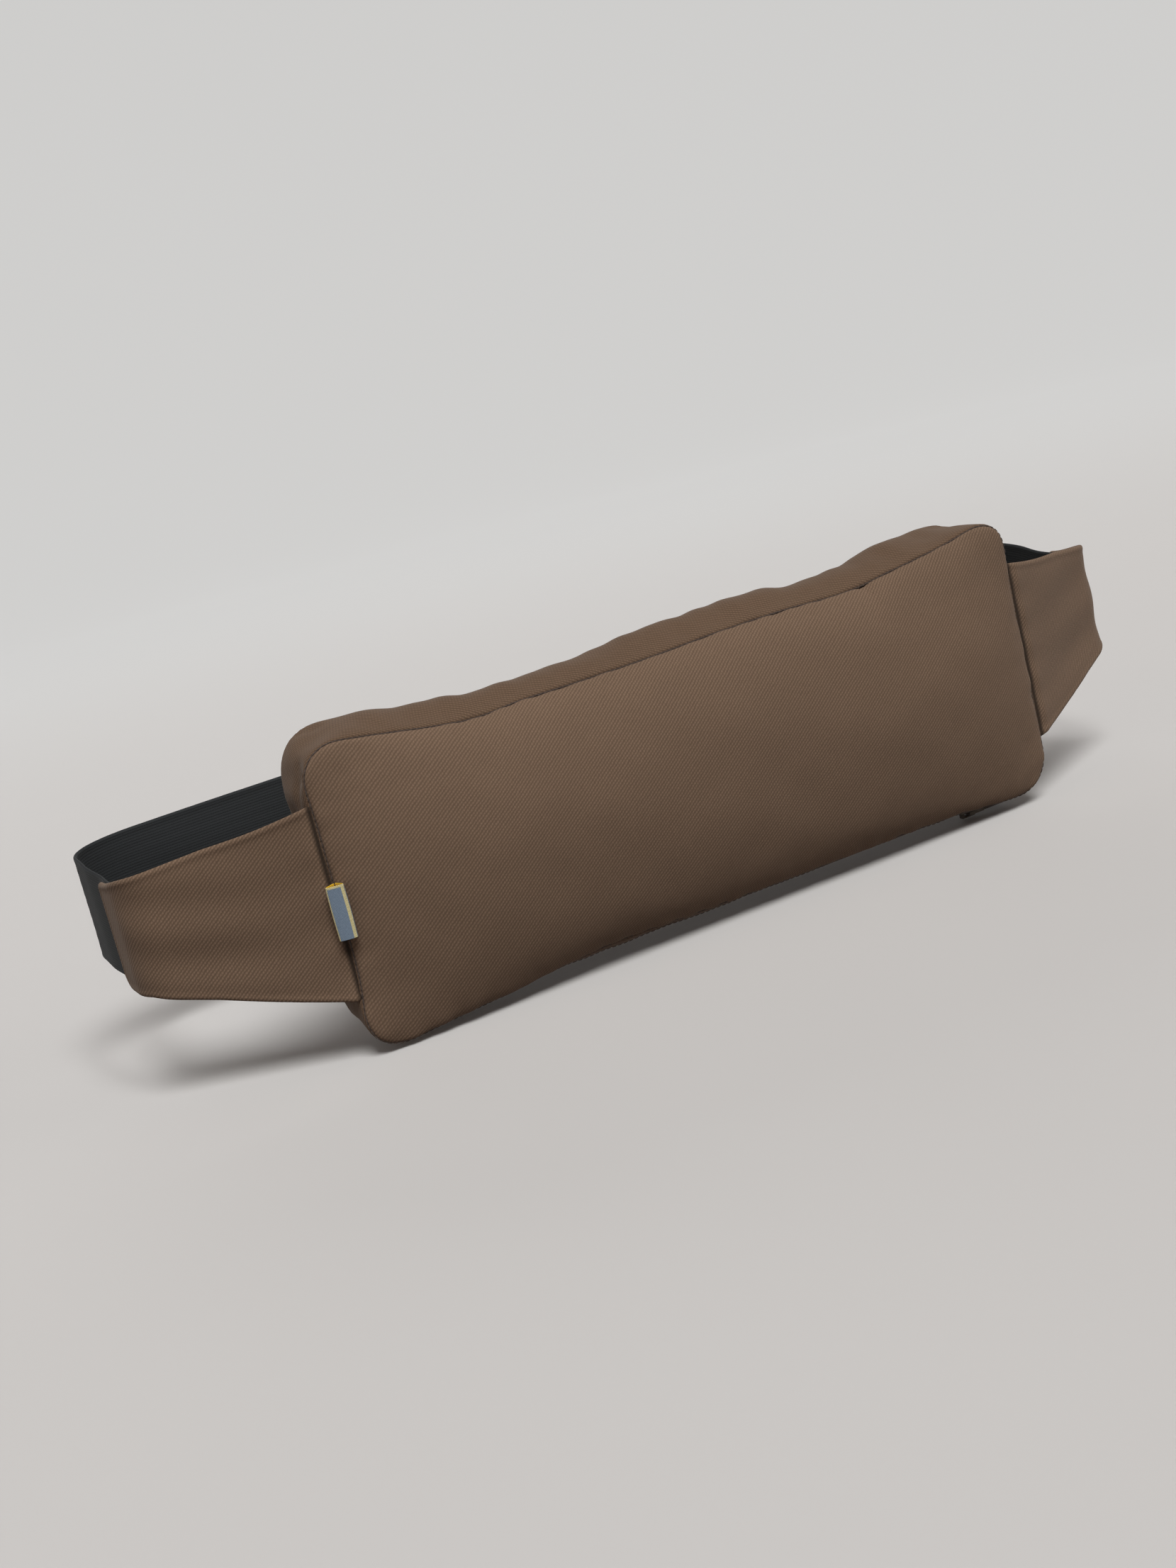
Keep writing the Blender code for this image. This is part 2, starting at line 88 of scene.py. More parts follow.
WING_X, WING_Y, WING_ANGLE = 189.4 * MM, -35.2 * MM, math.radians(27.5)
SIDE_X, WING_BEND, WING_END_Y = 270.0 * MM, 24.0 * MM, 42.0 * MM
WING_LINE = (SIDE_X - WING_BEND * (1 - math.sin(WING_ANGLE)) - WING_X) / math.cos(WING_ANGLE)
WING_ARC = WING_BEND * (math.pi / 2 - WING_ANGLE)
WING_TURN_Y = WING_Y + WING_LINE * math.sin(WING_ANGLE) + WING_BEND * math.cos(WING_ANGLE)
WING_LENGTH = WING_LINE + WING_ARC + WING_END_Y - WING_TURN_Y

BELT_X = (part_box("elastic_right")[1].x) - 0.75 * MM
BELT_LOW, BELT_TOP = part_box("elastic_right")[0].z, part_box("elastic_right")[1].z
BELT_START, BEND_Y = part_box("elastic_right")[0].y, 84.0 * MM
OUTER_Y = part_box("elastic_right")[1].y - 0.75 * MM
INNER_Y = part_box("elastic_left")[1].y - 0.75 * MM
OUTER_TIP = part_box("elastic_right")[0].x
INNER_TIP = -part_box("elastic_left")[1].x


# ------------------------------------------------------------------ small maths
def read_curve(P, t, cyclic=False):
    """Rows of P at fractional indices t, along a Catmull-Rom curve."""
    P = np.asarray(P, float)
    t = np.asarray(t, float)
    n = len(P)
    i = np.floor(t).astype(int)
    if cyclic:
        def g(k):
            return P[(i + k) % n]
    else:
        i = np.clip(i, 0, n - 2)
        Q = np.concatenate([[2 * P[0] - P[1]], P, [2 * P[-1] - P[-2]]])

        def g(k):
            return Q[i + k + 1]
    f = (t - i).reshape(-1, *([1] * (P.ndim - 1)))
    a, b, c, d = g(-1), g(0), g(1), g(2)
    return 0.5 * (2 * b + (c - a) * f + (2 * a - 5 * b + 4 * c - d) * f ** 2 + (3 * b - a - 3 * c + d) * f ** 3)


def dense(length, step, near=(0, .25, .6, 1.1, 1.7, 2.4, 3.3, 4.6)):
    """Distances from 0 to length, close together at both ends."""
    near = [x * MM for x in near]
    inner = length - 2 * near[-1]
    n = max(2, int(round(inner / step)))
    return np.array(near + [near[-1] + inner * i / n for i in range(1, n)] + [length - x for x in reversed(near)])


def waves(p, wavelength, seed, count=18):
    """Smooth uneven field over points p (n, 2), about -1 to 1, with lumps about wavelength across."""
    r = np.random.default_rng(seed)
    out = np.zeros(p.shape[:-1])
    for _ in range(count):
        a = r.random() * 2 * math.pi
        k = 2 * math.pi / (wavelength * (0.7 + 0.9 * r.random()))
        out += np.cos(k * (p[..., 0] * math.cos(a) + p[..., 1] * math.sin(a)) + r.random() * 2 * math.pi)
    return out / math.sqrt(count) * 1.0


def grid_normals(P):
    """Unit normals of a grid of points (n, m, 3)."""
    du = np.gradient(P, axis=0)
    dv = np.gradient(P, axis=1)
    n = np.cross(du, dv)
    return n / np.maximum(np.linalg.norm(n, axis=2, keepdims=True), 1e-12)


def smooth_step(x):
    x = np.clip(x, 0, 1)
    return x * x * (3 - 2 * x)


# ------------------------------------------------------------------ meshes
def make_object(name, verts, faces, mat, uvs=None, smooth=True, sharp=None):
    me = bpy.data.meshes.new(name)
    me.from_pydata([tuple(map(float, v)) for v in verts], [], faces)
    me.update()
    if uvs is not None:
        layer = me.uv_layers.new(name="cloth")
        loops = np.zeros(len(me.loops), np.int32)
        me.loops.foreach_get("vertex_index", loops)
        layer.data.foreach_set("uv", np.asarray(uvs, np.float32)[loops].ravel())
    if smooth:
        me.shade_smooth()
        if sharp:
            me.set_sharp_from_angle(angle=math.radians(sharp))
    o = bpy.data.objects.new(name, me)
    SCENE.collection.objects.link(o)
    me.materials.append(mat)
    return o


def slab(name, outer, inner, uv, mat, cyclic=False, inner_uv=None):
    """A closed sheet between two grids of points (n, m, 3), joined round its rim."""
    n, m = outer.shape[:2]
    verts = np.concatenate([outer.reshape(-1, 3), inner.reshape(-1, 3)])
    uvs = np.concatenate([uv.reshape(-1, 2), (uv if inner_uv is None else inner_uv).reshape(-1, 2)])
    k = n * m
    F = []
    ni = n if cyclic else n - 1
    for i in range(ni):
        a, b = i * m, ((i + 1) % n) * m
        for j in range(m - 1):
            F.append((a + j, b + j, b + j + 1, a + j + 1))
            F.append((k + a + j, k + a + j + 1, k + b + j + 1, k + b + j))
    if cyclic:
        for i in range(n):
            a, b = i * m, ((i + 1) % n) * m
            F.append((a, k + a, k + b, b))
            F.append((a + m - 1, b + m - 1, k + b + m - 1, k + a + m - 1))
    else:
        for i in range(n - 1):
            a, b = i * m, (i + 1) * m
            F.append((a, k + a, k + b, b))
            F.append((a + m - 1, b + m - 1, k + b + m - 1, k + a + m - 1))
        for j in range(m - 1):
            F.append((j, j + 1, k + j + 1, k + j))
            e = (n - 1) * m
            F.append((e + j, k + e + j, k + e + j + 1, e + j + 1))
    o = make_object(name, verts, F, mat, uvs, True, 50)
    face_out(o)
    return o


def face_out(o):
    """Turns a closed mesh's faces outwards."""
    me = o.data
    me.calc_loop_triangles()
    co = np.zeros(len(me.vertices) * 3, np.float32)
    me.vertices.foreach_get("co", co)
    tri = np.zeros(len(me.loop_triangles) * 3, np.int32)
    me.loop_triangles.foreach_get("vertices", tri)
    p = co.reshape(-1, 3)[tri.reshape(-1, 3)].astype(float)
    if np.einsum("ij,ij->i", p[:, 0], np.cross(p[:, 1], p[:, 2])).sum() < 0:
        me.flip_normals()
    me.update()


def capsules(name, places, length, radius, mat, sides=6):
    """Short rounded lengths of thread. places are (middle, direction, up) triples."""
    verts, faces = [], []
    prof = [(-1.0, 0.35), (-0.8, 0.8), (-0.35, 1.0), (0.35, 1.0), (0.8, 0.8), (1.0, 0.35)]
    for c, d, up in places:
        d = Vector(d).normalized()
        u = Vector(up)
        u = (u - d * u.dot(d)).normalized()
        w = d.cross(u)
        base = len(verts)
        for s, r in prof:
            bow = -0.28 * radius * s * s
            for k in range(sides):
                t = 2 * math.pi * k / sides
                verts.append(Vector(c) + d * (s * length / 2) + u * (r * radius * math.cos(t) * 0.8 + bow) + w * (r * radius * math.sin(t)))
        for i in range(len(prof) - 1):
            for k in range(sides):
                a, b = base + i * sides + k, base + i * sides + (k + 1) % sides
                faces.append((a, b, b + sides, a + sides))
        faces.append(tuple(base + k for k in reversed(range(sides))))
        e = base + (len(prof) - 1) * sides
        faces.append(tuple(e + k for k in range(sides)))
    return make_object(name, verts, faces, mat)


def stitch_places(line, ups, pitch, skip=0.0):
    """Evenly spaced places for stitches along a line of points, each with its up direction."""
    line, ups = np.asarray(line, float), np.asarray(ups, float)
    along = np.concatenate([[0], np.cumsum(np.linalg.norm(np.diff(line, axis=0), axis=1))])
    n = max(1, int((along[-1] - skip) / pitch))
    out = []
    for i in range(n):
        s = (i + 0.5) * along[-1] / n
        c = np.array([np.interp(s, along, line[:, k]) for k in range(3)])
        a = np.array([np.interp(s - pitch * .3, along, line[:, k]) for k in range(3)])
        b = np.array([np.interp(s + pitch * .3, along, line[:, k]) for k in range(3)])
        u = np.array([np.interp(s, along, ups[:, k]) for k in range(3)])
        if np.linalg.norm(b - a) > 1e-7:
            out.append((c, b - a, u))
    return out


# ------------------------------------------------------------------ materials
class Nodes:
    """Short hand for a procedural material's node tree."""

    def __init__(self, name):
        self.m = bpy.data.materials.new(name)
        self.m.use_nodes = True
        self.t = self.m.node_tree
        self.b = self.t.nodes["Principled BSDF"]

    def link(self, a, b):
        self.t.links.new(a, b)

    def put(self, socket, value):
        if isinstance(value, bpy.types.NodeSocket):
            self.link(value, socket)
        else:
            socket.default_value = value

    def math(self, op, a, b=None, c=None, clamp=False):
        n = self.t.nodes.new("ShaderNodeMath")
        n.operation, n.use_clamp = op, clamp
        for i, v in enumerate((a, b, c)):
            if v is not None:
                self.put(n.inputs[i], v)
        return n.outputs[0]

    def uv(self):
        n = self.t.nodes.new("ShaderNodeUVMap")
        n.uv_map = "cloth"
        s = self.t.nodes.new("ShaderNodeSeparateXYZ")
        self.link(n.outputs[0], s.inputs[0])
        self.uv_out = n.outputs[0]
        return s.outputs[0], s.outputs[1]

    def object_xyz(self):
        n = self.t.nodes.new("ShaderNodeTexCoord")
        self.uv_out = n.outputs["Object"]
        s = self.t.nodes.new("ShaderNodeSeparateXYZ")
        self.link(n.outputs["Object"], s.inputs[0])
        return s.outputs

    def noise(self, scale, detail=2.0, stretch=(1, 1, 1), rough=0.5):
        mp = self.t.nodes.new("ShaderNodeMapping")
        mp.inputs["Scale"].default_value = stretch
        self.link(self.uv_out, mp.inputs["Vector"])
        n = self.t.nodes.new("ShaderNodeTexNoise")
        n.inputs["Scale"].default_value = scale
        n.inputs["Detail"].default_value = detail
        n.inputs["Roughness"].default_value = rough
        self.link(mp.outputs[0], n.inputs["Vector"])
        return n.outputs["Fac"]

    def ramp(self, fac, stops):
        n = self.t.nodes.new("ShaderNodeValToRGB")
        e = n.color_ramp.elements
        while len(e) > 1:
            e.remove(e[-1])
        e[0].position, e[0].color = stops[0][0], (*stops[0][1], 1)
        for p, c in stops[1:]:
            x = e.new(p)
            x.color = (*c, 1)
        self.put(n.inputs[0], fac)
        return n.outputs[0]

    def mix(self, fac, a, b, kind="MIX"):
        n = self.t.nodes.new("ShaderNodeMix")
        n.data_type, n.blend_type = "RGBA", kind
        self.put(n.inputs["Factor"], fac)
        for s, v in ((n.inputs[6], a), (n.inputs[7], b)):
            if isinstance(v, bpy.types.NodeSocket):
                self.link(v, s)
            else:
                s.default_value = (*v, 1)
        return n.outputs[2]

    def bump(self, height, distance, strength=1.0, after=None):
        n = self.t.nodes.new("ShaderNodeBump")
        n.inputs["Distance"].default_value = distance
        n.inputs["Strength"].default_value = strength
        self.put(n.inputs["Height"], height)
        if after is not None:
            self.link(after, n.inputs["Normal"])
        return n.outputs[0]

    def end(self, color, rough, normal=None, metallic=0.0, sheen=0.0, sheen_rough=0.5, tint=(1, 1, 1), specular=0.5):
        self.put(self.b.inputs["Base Color"], color if isinstance(color, bpy.types.NodeSocket) else (*color, 1))
        self.put(self.b.inputs["Roughness"], rough)
        self.b.inputs["Metallic"].default_value = metallic
        self.b.inputs["Specular IOR Level"].default_value = specular
        self.b.inputs["Sheen Weight"].default_value = sheen
        self.b.inputs["Sheen Roughness"].default_value = sheen_rough
        self.b.inputs["Sheen Tint"].default_value = (*tint, 1)
        if normal is not None:
            self.link(normal, self.b.inputs["Normal"])
        return self.m


def scaled(c, k):
    return tuple(x * k for x in c)


def twill(name, color, contrast=1.0, painted_seam_shade=False):
    """Twill: ribs that climb to the right, crossed by a second, finer wave, in uneven yarn with a little soft pile. The
    cloth's own coordinates are in metres. Its last flag paints shade on the cloth next to the seam at u = 0.
    """
    n = Nodes(name)
    u, v = n.uv()
    wobble = n.noise(420, 2.0)

    def wave(angle, pitch, sway):
        c, s = math.cos(math.radians(angle)) / pitch, math.sin(math.radians(angle)) / pitch
        q = n.math("ADD", n.math("MULTIPLY", u, c), n.math("MULTIPLY", v, s))
        q = n.math("ADD", q, n.math("MULTIPLY", wobble, sway))
        return n.math("MULTIPLY_ADD", n.math("SINE", n.math("MULTIPLY", q, 2 * math.pi)), 0.5, 0.5)

    rib, cross = wave(-50, 1.45 * MM, 0.55), wave(18.7, 1.29 * MM, 0.45)
    yarn = n.math("MULTIPLY", n.math("POWER", rib, 0.8), n.math("MULTIPLY_ADD", cross, 0.5, 0.5))
    fuzz = n.noise(2400, 2.0)
    slub = n.noise(260, 2.0, (1, 9, 1))
    slub2 = n.noise(260, 2.0, (9, 1, 1))
    wide = n.noise(11, 3.0)
    tone = n.math("MULTIPLY_ADD", n.math("SUBTRACT", yarn, 0.42), 0.62 * contrast, 0.5)
    tone = n.math("ADD", tone, n.math("MULTIPLY", n.math("SUBTRACT", fuzz, 0.5), 0.20))
    tone = n.math("ADD", tone, n.math("MULTIPLY", n.math("SUBTRACT", slub, 0.5), 0.26))
    tone = n.math("ADD", tone, n.math("MULTIPLY", n.math("SUBTRACT", slub2, 0.5), 0.22))
    tone = n.math("ADD", tone, n.math("MULTIPLY", n.math("SUBTRACT", wide, 0.5), 0.22), clamp=True)
    col = n.ramp(tone, [(0.0, scaled(color, 0.55)), (0.5, color), (1.0, tuple(min(1, x * k) for x, k in zip(color, (1.50, 1.53, 1.58))))])
    if painted_seam_shade:
        # painted shade: the cloth beside the seam (small |u|) is mixed toward a dark copy of its colour, standing in
        # for the shadow in the crease
        seam_shade_mask = n.math("MULTIPLY_ADD", n.math("ABSOLUTE", u), 1 / (1.5 * MM), -0.15, clamp=True)
        col = n.mix(seam_shade_mask, scaled(color, 0.22), col)
    nor = n.bump(yarn, 0.13 * MM, 0.6)
    nor = n.bump(fuzz, 0.05 * MM, 0.35, nor)
    rough = n.math("MULTIPLY_ADD", yarn, -0.08, 0.94)
    return n.end(col, rough, nor, sheen=0.08, sheen_rough=0.45, tint=(1.0, 0.9, 0.8), specular=0.18)


def plain_weave(name, color, pitch=0.7 * MM, contrast=1.0, rough=0.9, sheen=0.1):
    n = Nodes(name)
    u, v = n.uv()
    a = n.math("SINE", n.math("MULTIPLY", u, math.pi / pitch))
    b = n.math("SINE", n.math("MULTIPLY", v, math.pi / pitch))
    weave = n.math("MULTIPLY_ADD", n.math("MULTIPLY", a, b), 0.5, 0.5)
    fuzz = n.noise(1800, 2.0)
    slub = n.noise(200, 2.0, (1, 8, 1))
    tone = n.math("MULTIPLY_ADD", n.math("SUBTRACT", weave, 0.5), 0.35 * contrast, 0.5)
    tone = n.math("ADD", tone, n.math("MULTIPLY", n.math("SUBTRACT", fuzz, 0.5), 0.2))
    tone = n.math("ADD", tone, n.math("MULTIPLY", n.math("SUBTRACT", slub, 0.5), 0.3), clamp=True)
    col = n.ramp(tone, [(0, scaled(color, 0.7)), (0.5, color), (1, tuple(min(1, x * 1.25) for x in color))])
    nor = n.bump(weave, 0.12 * MM, 0.5)
    return n.end(col, rough, nor, sheen=sheen, specular=0.25)


def elastic_material(name, color):
    """Woven elastic: covered rubber cords along the band, fine weft across, dense edges."""
    n = Nodes(name)
    u, v = n.uv()
    cord = n.math("ABSOLUTE", n.math("SINE", n.math("MULTIPLY", v, math.pi / (1.35 * MM))))
    cord = n.math("POWER", cord, 0.6)
    weft = n.math("ABSOLUTE", n.math("SINE", n.math("ADD", n.math("MULTIPLY", u, math.pi / (0.62 * MM)), n.math("MULTIPLY", n.math("FLOOR", n.math("MULTIPLY", v, 1 / (1.35 * MM))), math.pi / 2))))
    h = n.math("MULTIPLY", cord, n.math("MULTIPLY_ADD", weft, 0.35, 0.65))
    fuzz = n.noise(1500, 2.0)
    wide = n.noise(14, 2.0)
    tone = n.math("MULTIPLY_ADD", n.math("SUBTRACT", h, 0.6), 0.55, 0.5)
    tone = n.math("ADD", tone, n.math("MULTIPLY", n.math("SUBTRACT", fuzz, 0.5), 0.25))
    tone = n.math("ADD", tone, n.math("MULTIPLY", n.math("SUBTRACT", wide, 0.5), 0.25), clamp=True)
    col = n.ramp(tone, [(0, scaled(color, 0.55)), (0.5, color), (1, scaled(color, 1.5))])
    nor = n.bump(h, 0.16 * MM, 0.7)
    return n.end(col, n.math("MULTIPLY_ADD", h, -0.12, 0.82), nor, sheen=0.02, sheen_rough=0.4, specular=0.18)


def noisy(name, color, scale=600, amount=0.3, rough=0.7, bump=0.0, metallic=0.0, sheen=0.0, specular=0.4):
    n = Nodes(name)
    n.object_xyz()
    f = n.noise(scale, 3.0)
    col = n.ramp(n.math("MULTIPLY_ADD", n.math("SUBTRACT", f, 0.5), amount, 0.5, clamp=True), [(0, scaled(color, 0.4)), (0.5, color), (1, tuple(min(1, x * 1.6) for x in color))])
    nor = n.bump(f, bump, 0.6) if bump else None
    r = n.math("MULTIPLY_ADD", n.math("SUBTRACT", f, 0.5), 0.2, rough)
    return n.end(col, r, nor, metallic, sheen, specular=specular)


BROWN = (0.160, 0.105, 0.069)
MAT = {
    "twill": twill("brown_twill", BROWN),
    # painted shade: the gusset and zip strips use the panels' twill made a quarter darker and a little warmer,
    # darkening them as shade would
    "gusset": twill("gusset_twill_painted_shade", tuple(c * k for c, k in zip(scaled(BROWN, 0.75), (1.0, 0.96, 0.91)))),
    # wing cloth, with painted shade darkening it next to the seam
    "wing": twill("wing_twill_painted_seam_shade", BROWN, 1.15, painted_seam_shade=True),
    "lining": twill("wing_lining_twill", scaled(BROWN, 0.9), 0.7),
    "calico": plain_weave("calico_weave", (0.62, 0.56, 0.45)),
    "husk": noisy("husks", (0.07, 0.042, 0.026), 420, 0.9, 0.8, 0.8 * MM),
    "elastic": elastic_material("black_elastic_weave", (0.025, 0.028, 0.030)),
    "thread": noisy("brown_thread", (0.060, 0.040, 0.030), 3000, 0.5, 0.65, 0.05 * MM, sheen=0.1),
    "black_thread": noisy("black_thread", (0.05, 0.053, 0.056), 3000, 0.5, 0.6, 0.05 * MM, sheen=0.1),
    "hook": noisy("hook_tape_grid", (0.018, 0.019, 0.021), 900, 0.7, 0.55, 0.4 * MM),
    "loop": noisy("loop_tape_pile", (0.022, 0.023, 0.025), 1300, 0.9, 0.98, 0.6 * MM, sheen=0.5),
    "tape": plain_weave("zip_tape_weave", (0.11, 0.075, 0.054), 0.45 * MM),
    "coil": noisy("zip_coil_nylon", (0.10, 0.068, 0.050), 900, 0.3, 0.42, specular=0.5),
    "metal": noisy("zip_painted_metal", (0.085, 0.068, 0.052), 500, 0.35, 0.38, metallic=0.75, specular=0.5),
}

# ------------------------------------------------------------------ cushion: cut, stuffed by simulation, then read as smooth panels
NX, NZ, NG = 72, 27, 7
MID_Z, HALF_Z = (T + B) / 2, (T - B) / 2


def flat_xz(u, v):
    """A point of the flat panel: a rectangle whose corners are drawn in to arcs."""
    x, z = (2 * u - 1) * A, B + (T - B) * v
    ax, az = abs(x), abs(z - MID_Z)
    if ax > A - R and az > HALF_Z - R:
        p, q = (ax - (A - R)) / R, (az - (HALF_Z - R)) / R
        ax, az = A - R + R * p * math.sqrt(1 - q * q / 2), HALF_Z - R + R * q * math.sqrt(1 - p * p / 2)
        x, z = math.copysign(ax, x), MID_Z + math.copysign(az, z - MID_Z)
    return x, z


RING = [(i, 0) for i in range(NX)] + [(NX, j) for j in range(NZ)] + [(i, NZ) for i in range(NX, 0, -1)] + [(0, j) for j in range(NZ, 0, -1)]
NR = len(RING)


def cut_cover():
    """The cover as sewn, before it is filled: two flat panels and the gusset between them."""
    flat = np.array([[flat_xz(i / NX, j / NZ) for j in range(NZ + 1)] for i in range(NX + 1)])
    V = [(x, SY, z) for x, z in flat.reshape(-1, 2)] + [(x, 0.0, z) for x, z in flat.reshape(-1, 2)]
    k = (NX + 1) * (NZ + 1)
    at = lambda i, j: i * (NZ + 1) + j
    F = []
    for i in range(NX):
        for j in range(NZ):
            q = (at(i, j), at(i + 1, j), at(i + 1, j + 1), at(i, j + 1))
            F.append(q)
            F.append(tuple(k + c for c in reversed(q)))
    rows = [[at(*r) for r in RING]]
    for g in range(1, NG):
        rows.append(list(range(len(V), len(V) + NR)))
        V += [(*flat[r][:1], SY * (1 - g / NG), flat[r][1]) for r in RING]
    rows.append([k + at(*r) for r in RING])
    for g in range(NG):
        for m in range(NR):
            F.append((rows[g][m], rows[g + 1][m], rows[g + 1][(m + 1) % NR], rows[g][(m + 1) % NR]))
    return flat, np.array(V), F, rows, k


def stuff_cover():
    """The filled cover's points. Air pressure in a cloth simulation stands for the husks. The flat back is held, and so are the seams that the wings pull on and the zip's straight run."""
    flat, V, F, rows, k = cut_cover()
    me = bpy.data.meshes.new("stuffing")
    me.from_pydata([tuple(p) for p in V], [], F)
    me.update()
    o = bpy.data.objects.new("stuffing", me)
    SCENE.collection.objects.link(o)
    held = []
    for i in range(NX + 1):
        for j in range(NZ + 1):
            x, z = flat[i, j]
            if abs(x) < A - 22 * MM and B + 18 * MM < z < T - 18 * MM:
                held.append(k + i * (NZ + 1) + j)
            if i in (0, NX) and -43 * MM < z < 46 * MM:
                held.append(i * (NZ + 1) + j)
    for g in range(2, 6):
        for m, (i, j) in enumerate(RING):
            if j == 0 and abs(flat[i, j][0]) < 168 * MM:
                held.append(rows[g][m])
    group = o.vertex_groups.new(name="held")
    group.add(held, 1.0, "REPLACE")
    mod = o.modifiers.new("fill", "CLOTH")
    s = mod.settings
    s.quality, s.mass, s.air_damping = 6, 0.3, 1.0
    s.tension_stiffness = s.compression_stiffness = 15
    s.shear_stiffness, s.bending_stiffness = 6, 0.4
    s.tension_damping = s.compression_damping = s.shear_damping = 5
    s.bending_damping = 0.5
    s.use_pressure, s.uniform_pressure_force = True, 9.0
    s.effector_weights.gravity = 0.0
    s.vertex_group_mass, s.pin_stiffness = "held", 1.0
    mod.collision_settings.use_collision = False
    mod.collision_settings.use_self_collision = False
    mod.point_cache.frame_start, mod.point_cache.frame_end = 1, 25
    for f in range(1, 26):
        SCENE.frame_set(f)
    e = o.evaluated_get(bpy.context.evaluated_depsgraph_get())
    P = np.array([v.co for v in e.data.vertices])
    bpy.data.objects.remove(o, do_unlink=True)
    SCENE.frame_set(1)
    step = P - V
    far = np.linalg.norm(step, axis=1, keepdims=True)
    P = V + step * np.minimum(1, 26 * MM / np.maximum(far, 1e-9))
    front = P[:, 1] < SY
    full = (CROWN_Y + 0.2 * MM - SY) / (P[:, 1].min() - SY)
    P[front, 1] = SY + (P[front, 1] - SY) * full
    # the husks sit heaped along the middle, so the front is rounder than air alone would make it
    q = V[:(NX + 1) * (NZ + 1)]
    dome = (SY - CROWN_Y) * (1 - (np.abs(q[:, 2] - MID_Z) / HALF_Z) ** 2.0) * np.clip(1 - (np.abs(q[:, 0]) / A) ** 6, 0, 1) ** 0.8
    P[:len(q), 1] = 0.22 * P[:len(q), 1] + 0.78 * (SY - dome)
    return flat, P, rows, k


def edge_field(x, z):
    """Distance in from the flat panel's outline, and the direction out of it, for arrays of flat places."""
    ax, az = np.abs(x) - (A - R), np.abs(z - MID_Z) - (HALF_Z - R)
    arc = (ax > 0) & (az > 0)
    h = np.hypot(ax, az)
    d = np.where(arc, R - h, np.minimum(R - ax, R - az))
    ox = np.where(arc, ax / np.maximum(h, 1e-9), (R - ax < R - az) * 1.0)
    oz = np.where(arc, az / np.maximum(h, 1e-9), (R - ax >= R - az) * 1.0)
    return np.maximum(d, 0), np.stack([ox * np.sign(x), np.zeros_like(ox), oz * np.sign(z - MID_Z)], axis=-1)


def roll(d, width):
    """How far cloth has turned into a seam at distance d from it: 1 at the seam, 0 beyond width, as a quarter circle."""
    t = np.clip(1 - d / width, 0, 1)
    return 1 - np.sqrt(np.maximum(1 - t * t, 0))


def smooth_knots(x, knots):
    """A smooth curve through (place, height) knots in millimetres, read at x in metres."""
    xs, hs = np.array([k[0] for k in knots]) * MM, np.array([k[1] for k in knots]) * MM
    t = np.interp(x, xs, np.arange(len(xs)))
    return read_curve(hs, t.ravel()).reshape(np.shape(x))


# how the filling has settled: the seams drop between the corners, which stand up as soft ears
TOP_FRONT = ((-188, 0), (-170, -0.5), (-148, -2.8), (-117, -6.4), (-102, -7.2), (-83, -5.6), (-49, -5.2), (-13, -4.5), (23, -3.2), (61, -3.3), (85, -4.8), (101, -4.9), (120, -3.0), (142, -1.4), (165, 0.6), (188, 2.0))
TOP_BACK = ((-188, 0), (-168, 3.2), (-150, 2.4), (-128, -1.8), (-115, -3.6), (-98, -7.0), (-82, -8.2), (-68, -7.2), (-47, -7.6), (-30, -5.0), (-17, -2.8), (0, -2.2), (29, -0.8), (52, 0.1), (72, -3.3), (86, -4.4), (98, -4.0), (117, -0.4), (143, 3.3), (169, 3.4), (188, 0))
BOTTOM_FRONT = ((-188, -1.0), (-157, -4.2), (-122, -3.4), (-104, -1.6), (-63, 0.2), (-11, -1.4), (53, -1.6), (90, -1.0), (125, -0.6), (161, -1.6), (188, 0))
EARS = (((-1, 1), (-1.6, 0.4), (-1.0, 1.5)), ((1, 1), (3.0, 3.2), (1.0, 2.5)), ((-1, -1), (-4.6, -3.6), (-2.0, -1.5)), ((1, -1), (0.2, 0.2), (0.0, 0.0)))


def settle(P, rest, share):
    """Moves points P, whose flat places are rest and whose share of the depth runs from 0 at the front seam to 1 at the back seam."""
    P = P.copy()
    x, z = rest[..., 0], rest[..., 1]
    near_top, near_low = np.exp(-((T - z) / (42 * MM)) ** 2), np.exp(-((z - B) / (34 * MM)) ** 2)
    share = np.clip(share, 0, 1) + 0 * x
    dz = smooth_knots(x, TOP_FRONT) * near_top * (1 - share) ** 1.2
    dz = dz + smooth_knots(x, TOP_BACK) * np.exp(-((T - z) / (24 * MM)) ** 2) * share ** 1.4
    dz = dz + smooth_knots(x, BOTTOM_FRONT) * near_low * np.clip(1 - share / 0.34, 0, 1) ** 2
    P[..., 2] += dz
    for (sx, sz), front, back in EARS:
        cx, cz = sx * (A - R * 0.29), (T - R * 0.29) if sz > 0 else (B + R * 0.29)
        w = np.exp(-((x - cx) ** 2 + (z - cz) ** 2) / (17 * MM) ** 2)
        P[..., 0] += w * ((1 - share) * front[0] + share * back[0]) * MM
        P[..., 2] += w * ((1 - share) * front[1] + share * back[1]) * MM
    return P


FLAT, COVER, ROWS, K = stuff_cover()
SEAM_DEPTH, SEAM_W = 2.1 * MM, 2.7 * MM
OUT_FRONT = np.array([0.0, -1.0, 0.0])


def seam_ripple(x, z, seed):
    """Uneven fullness along a seam, which gathers the cloth into short soft puckers."""
    p = np.stack([x, z], axis=-1)
    return waves(p, 13 * MM, seed, 14)


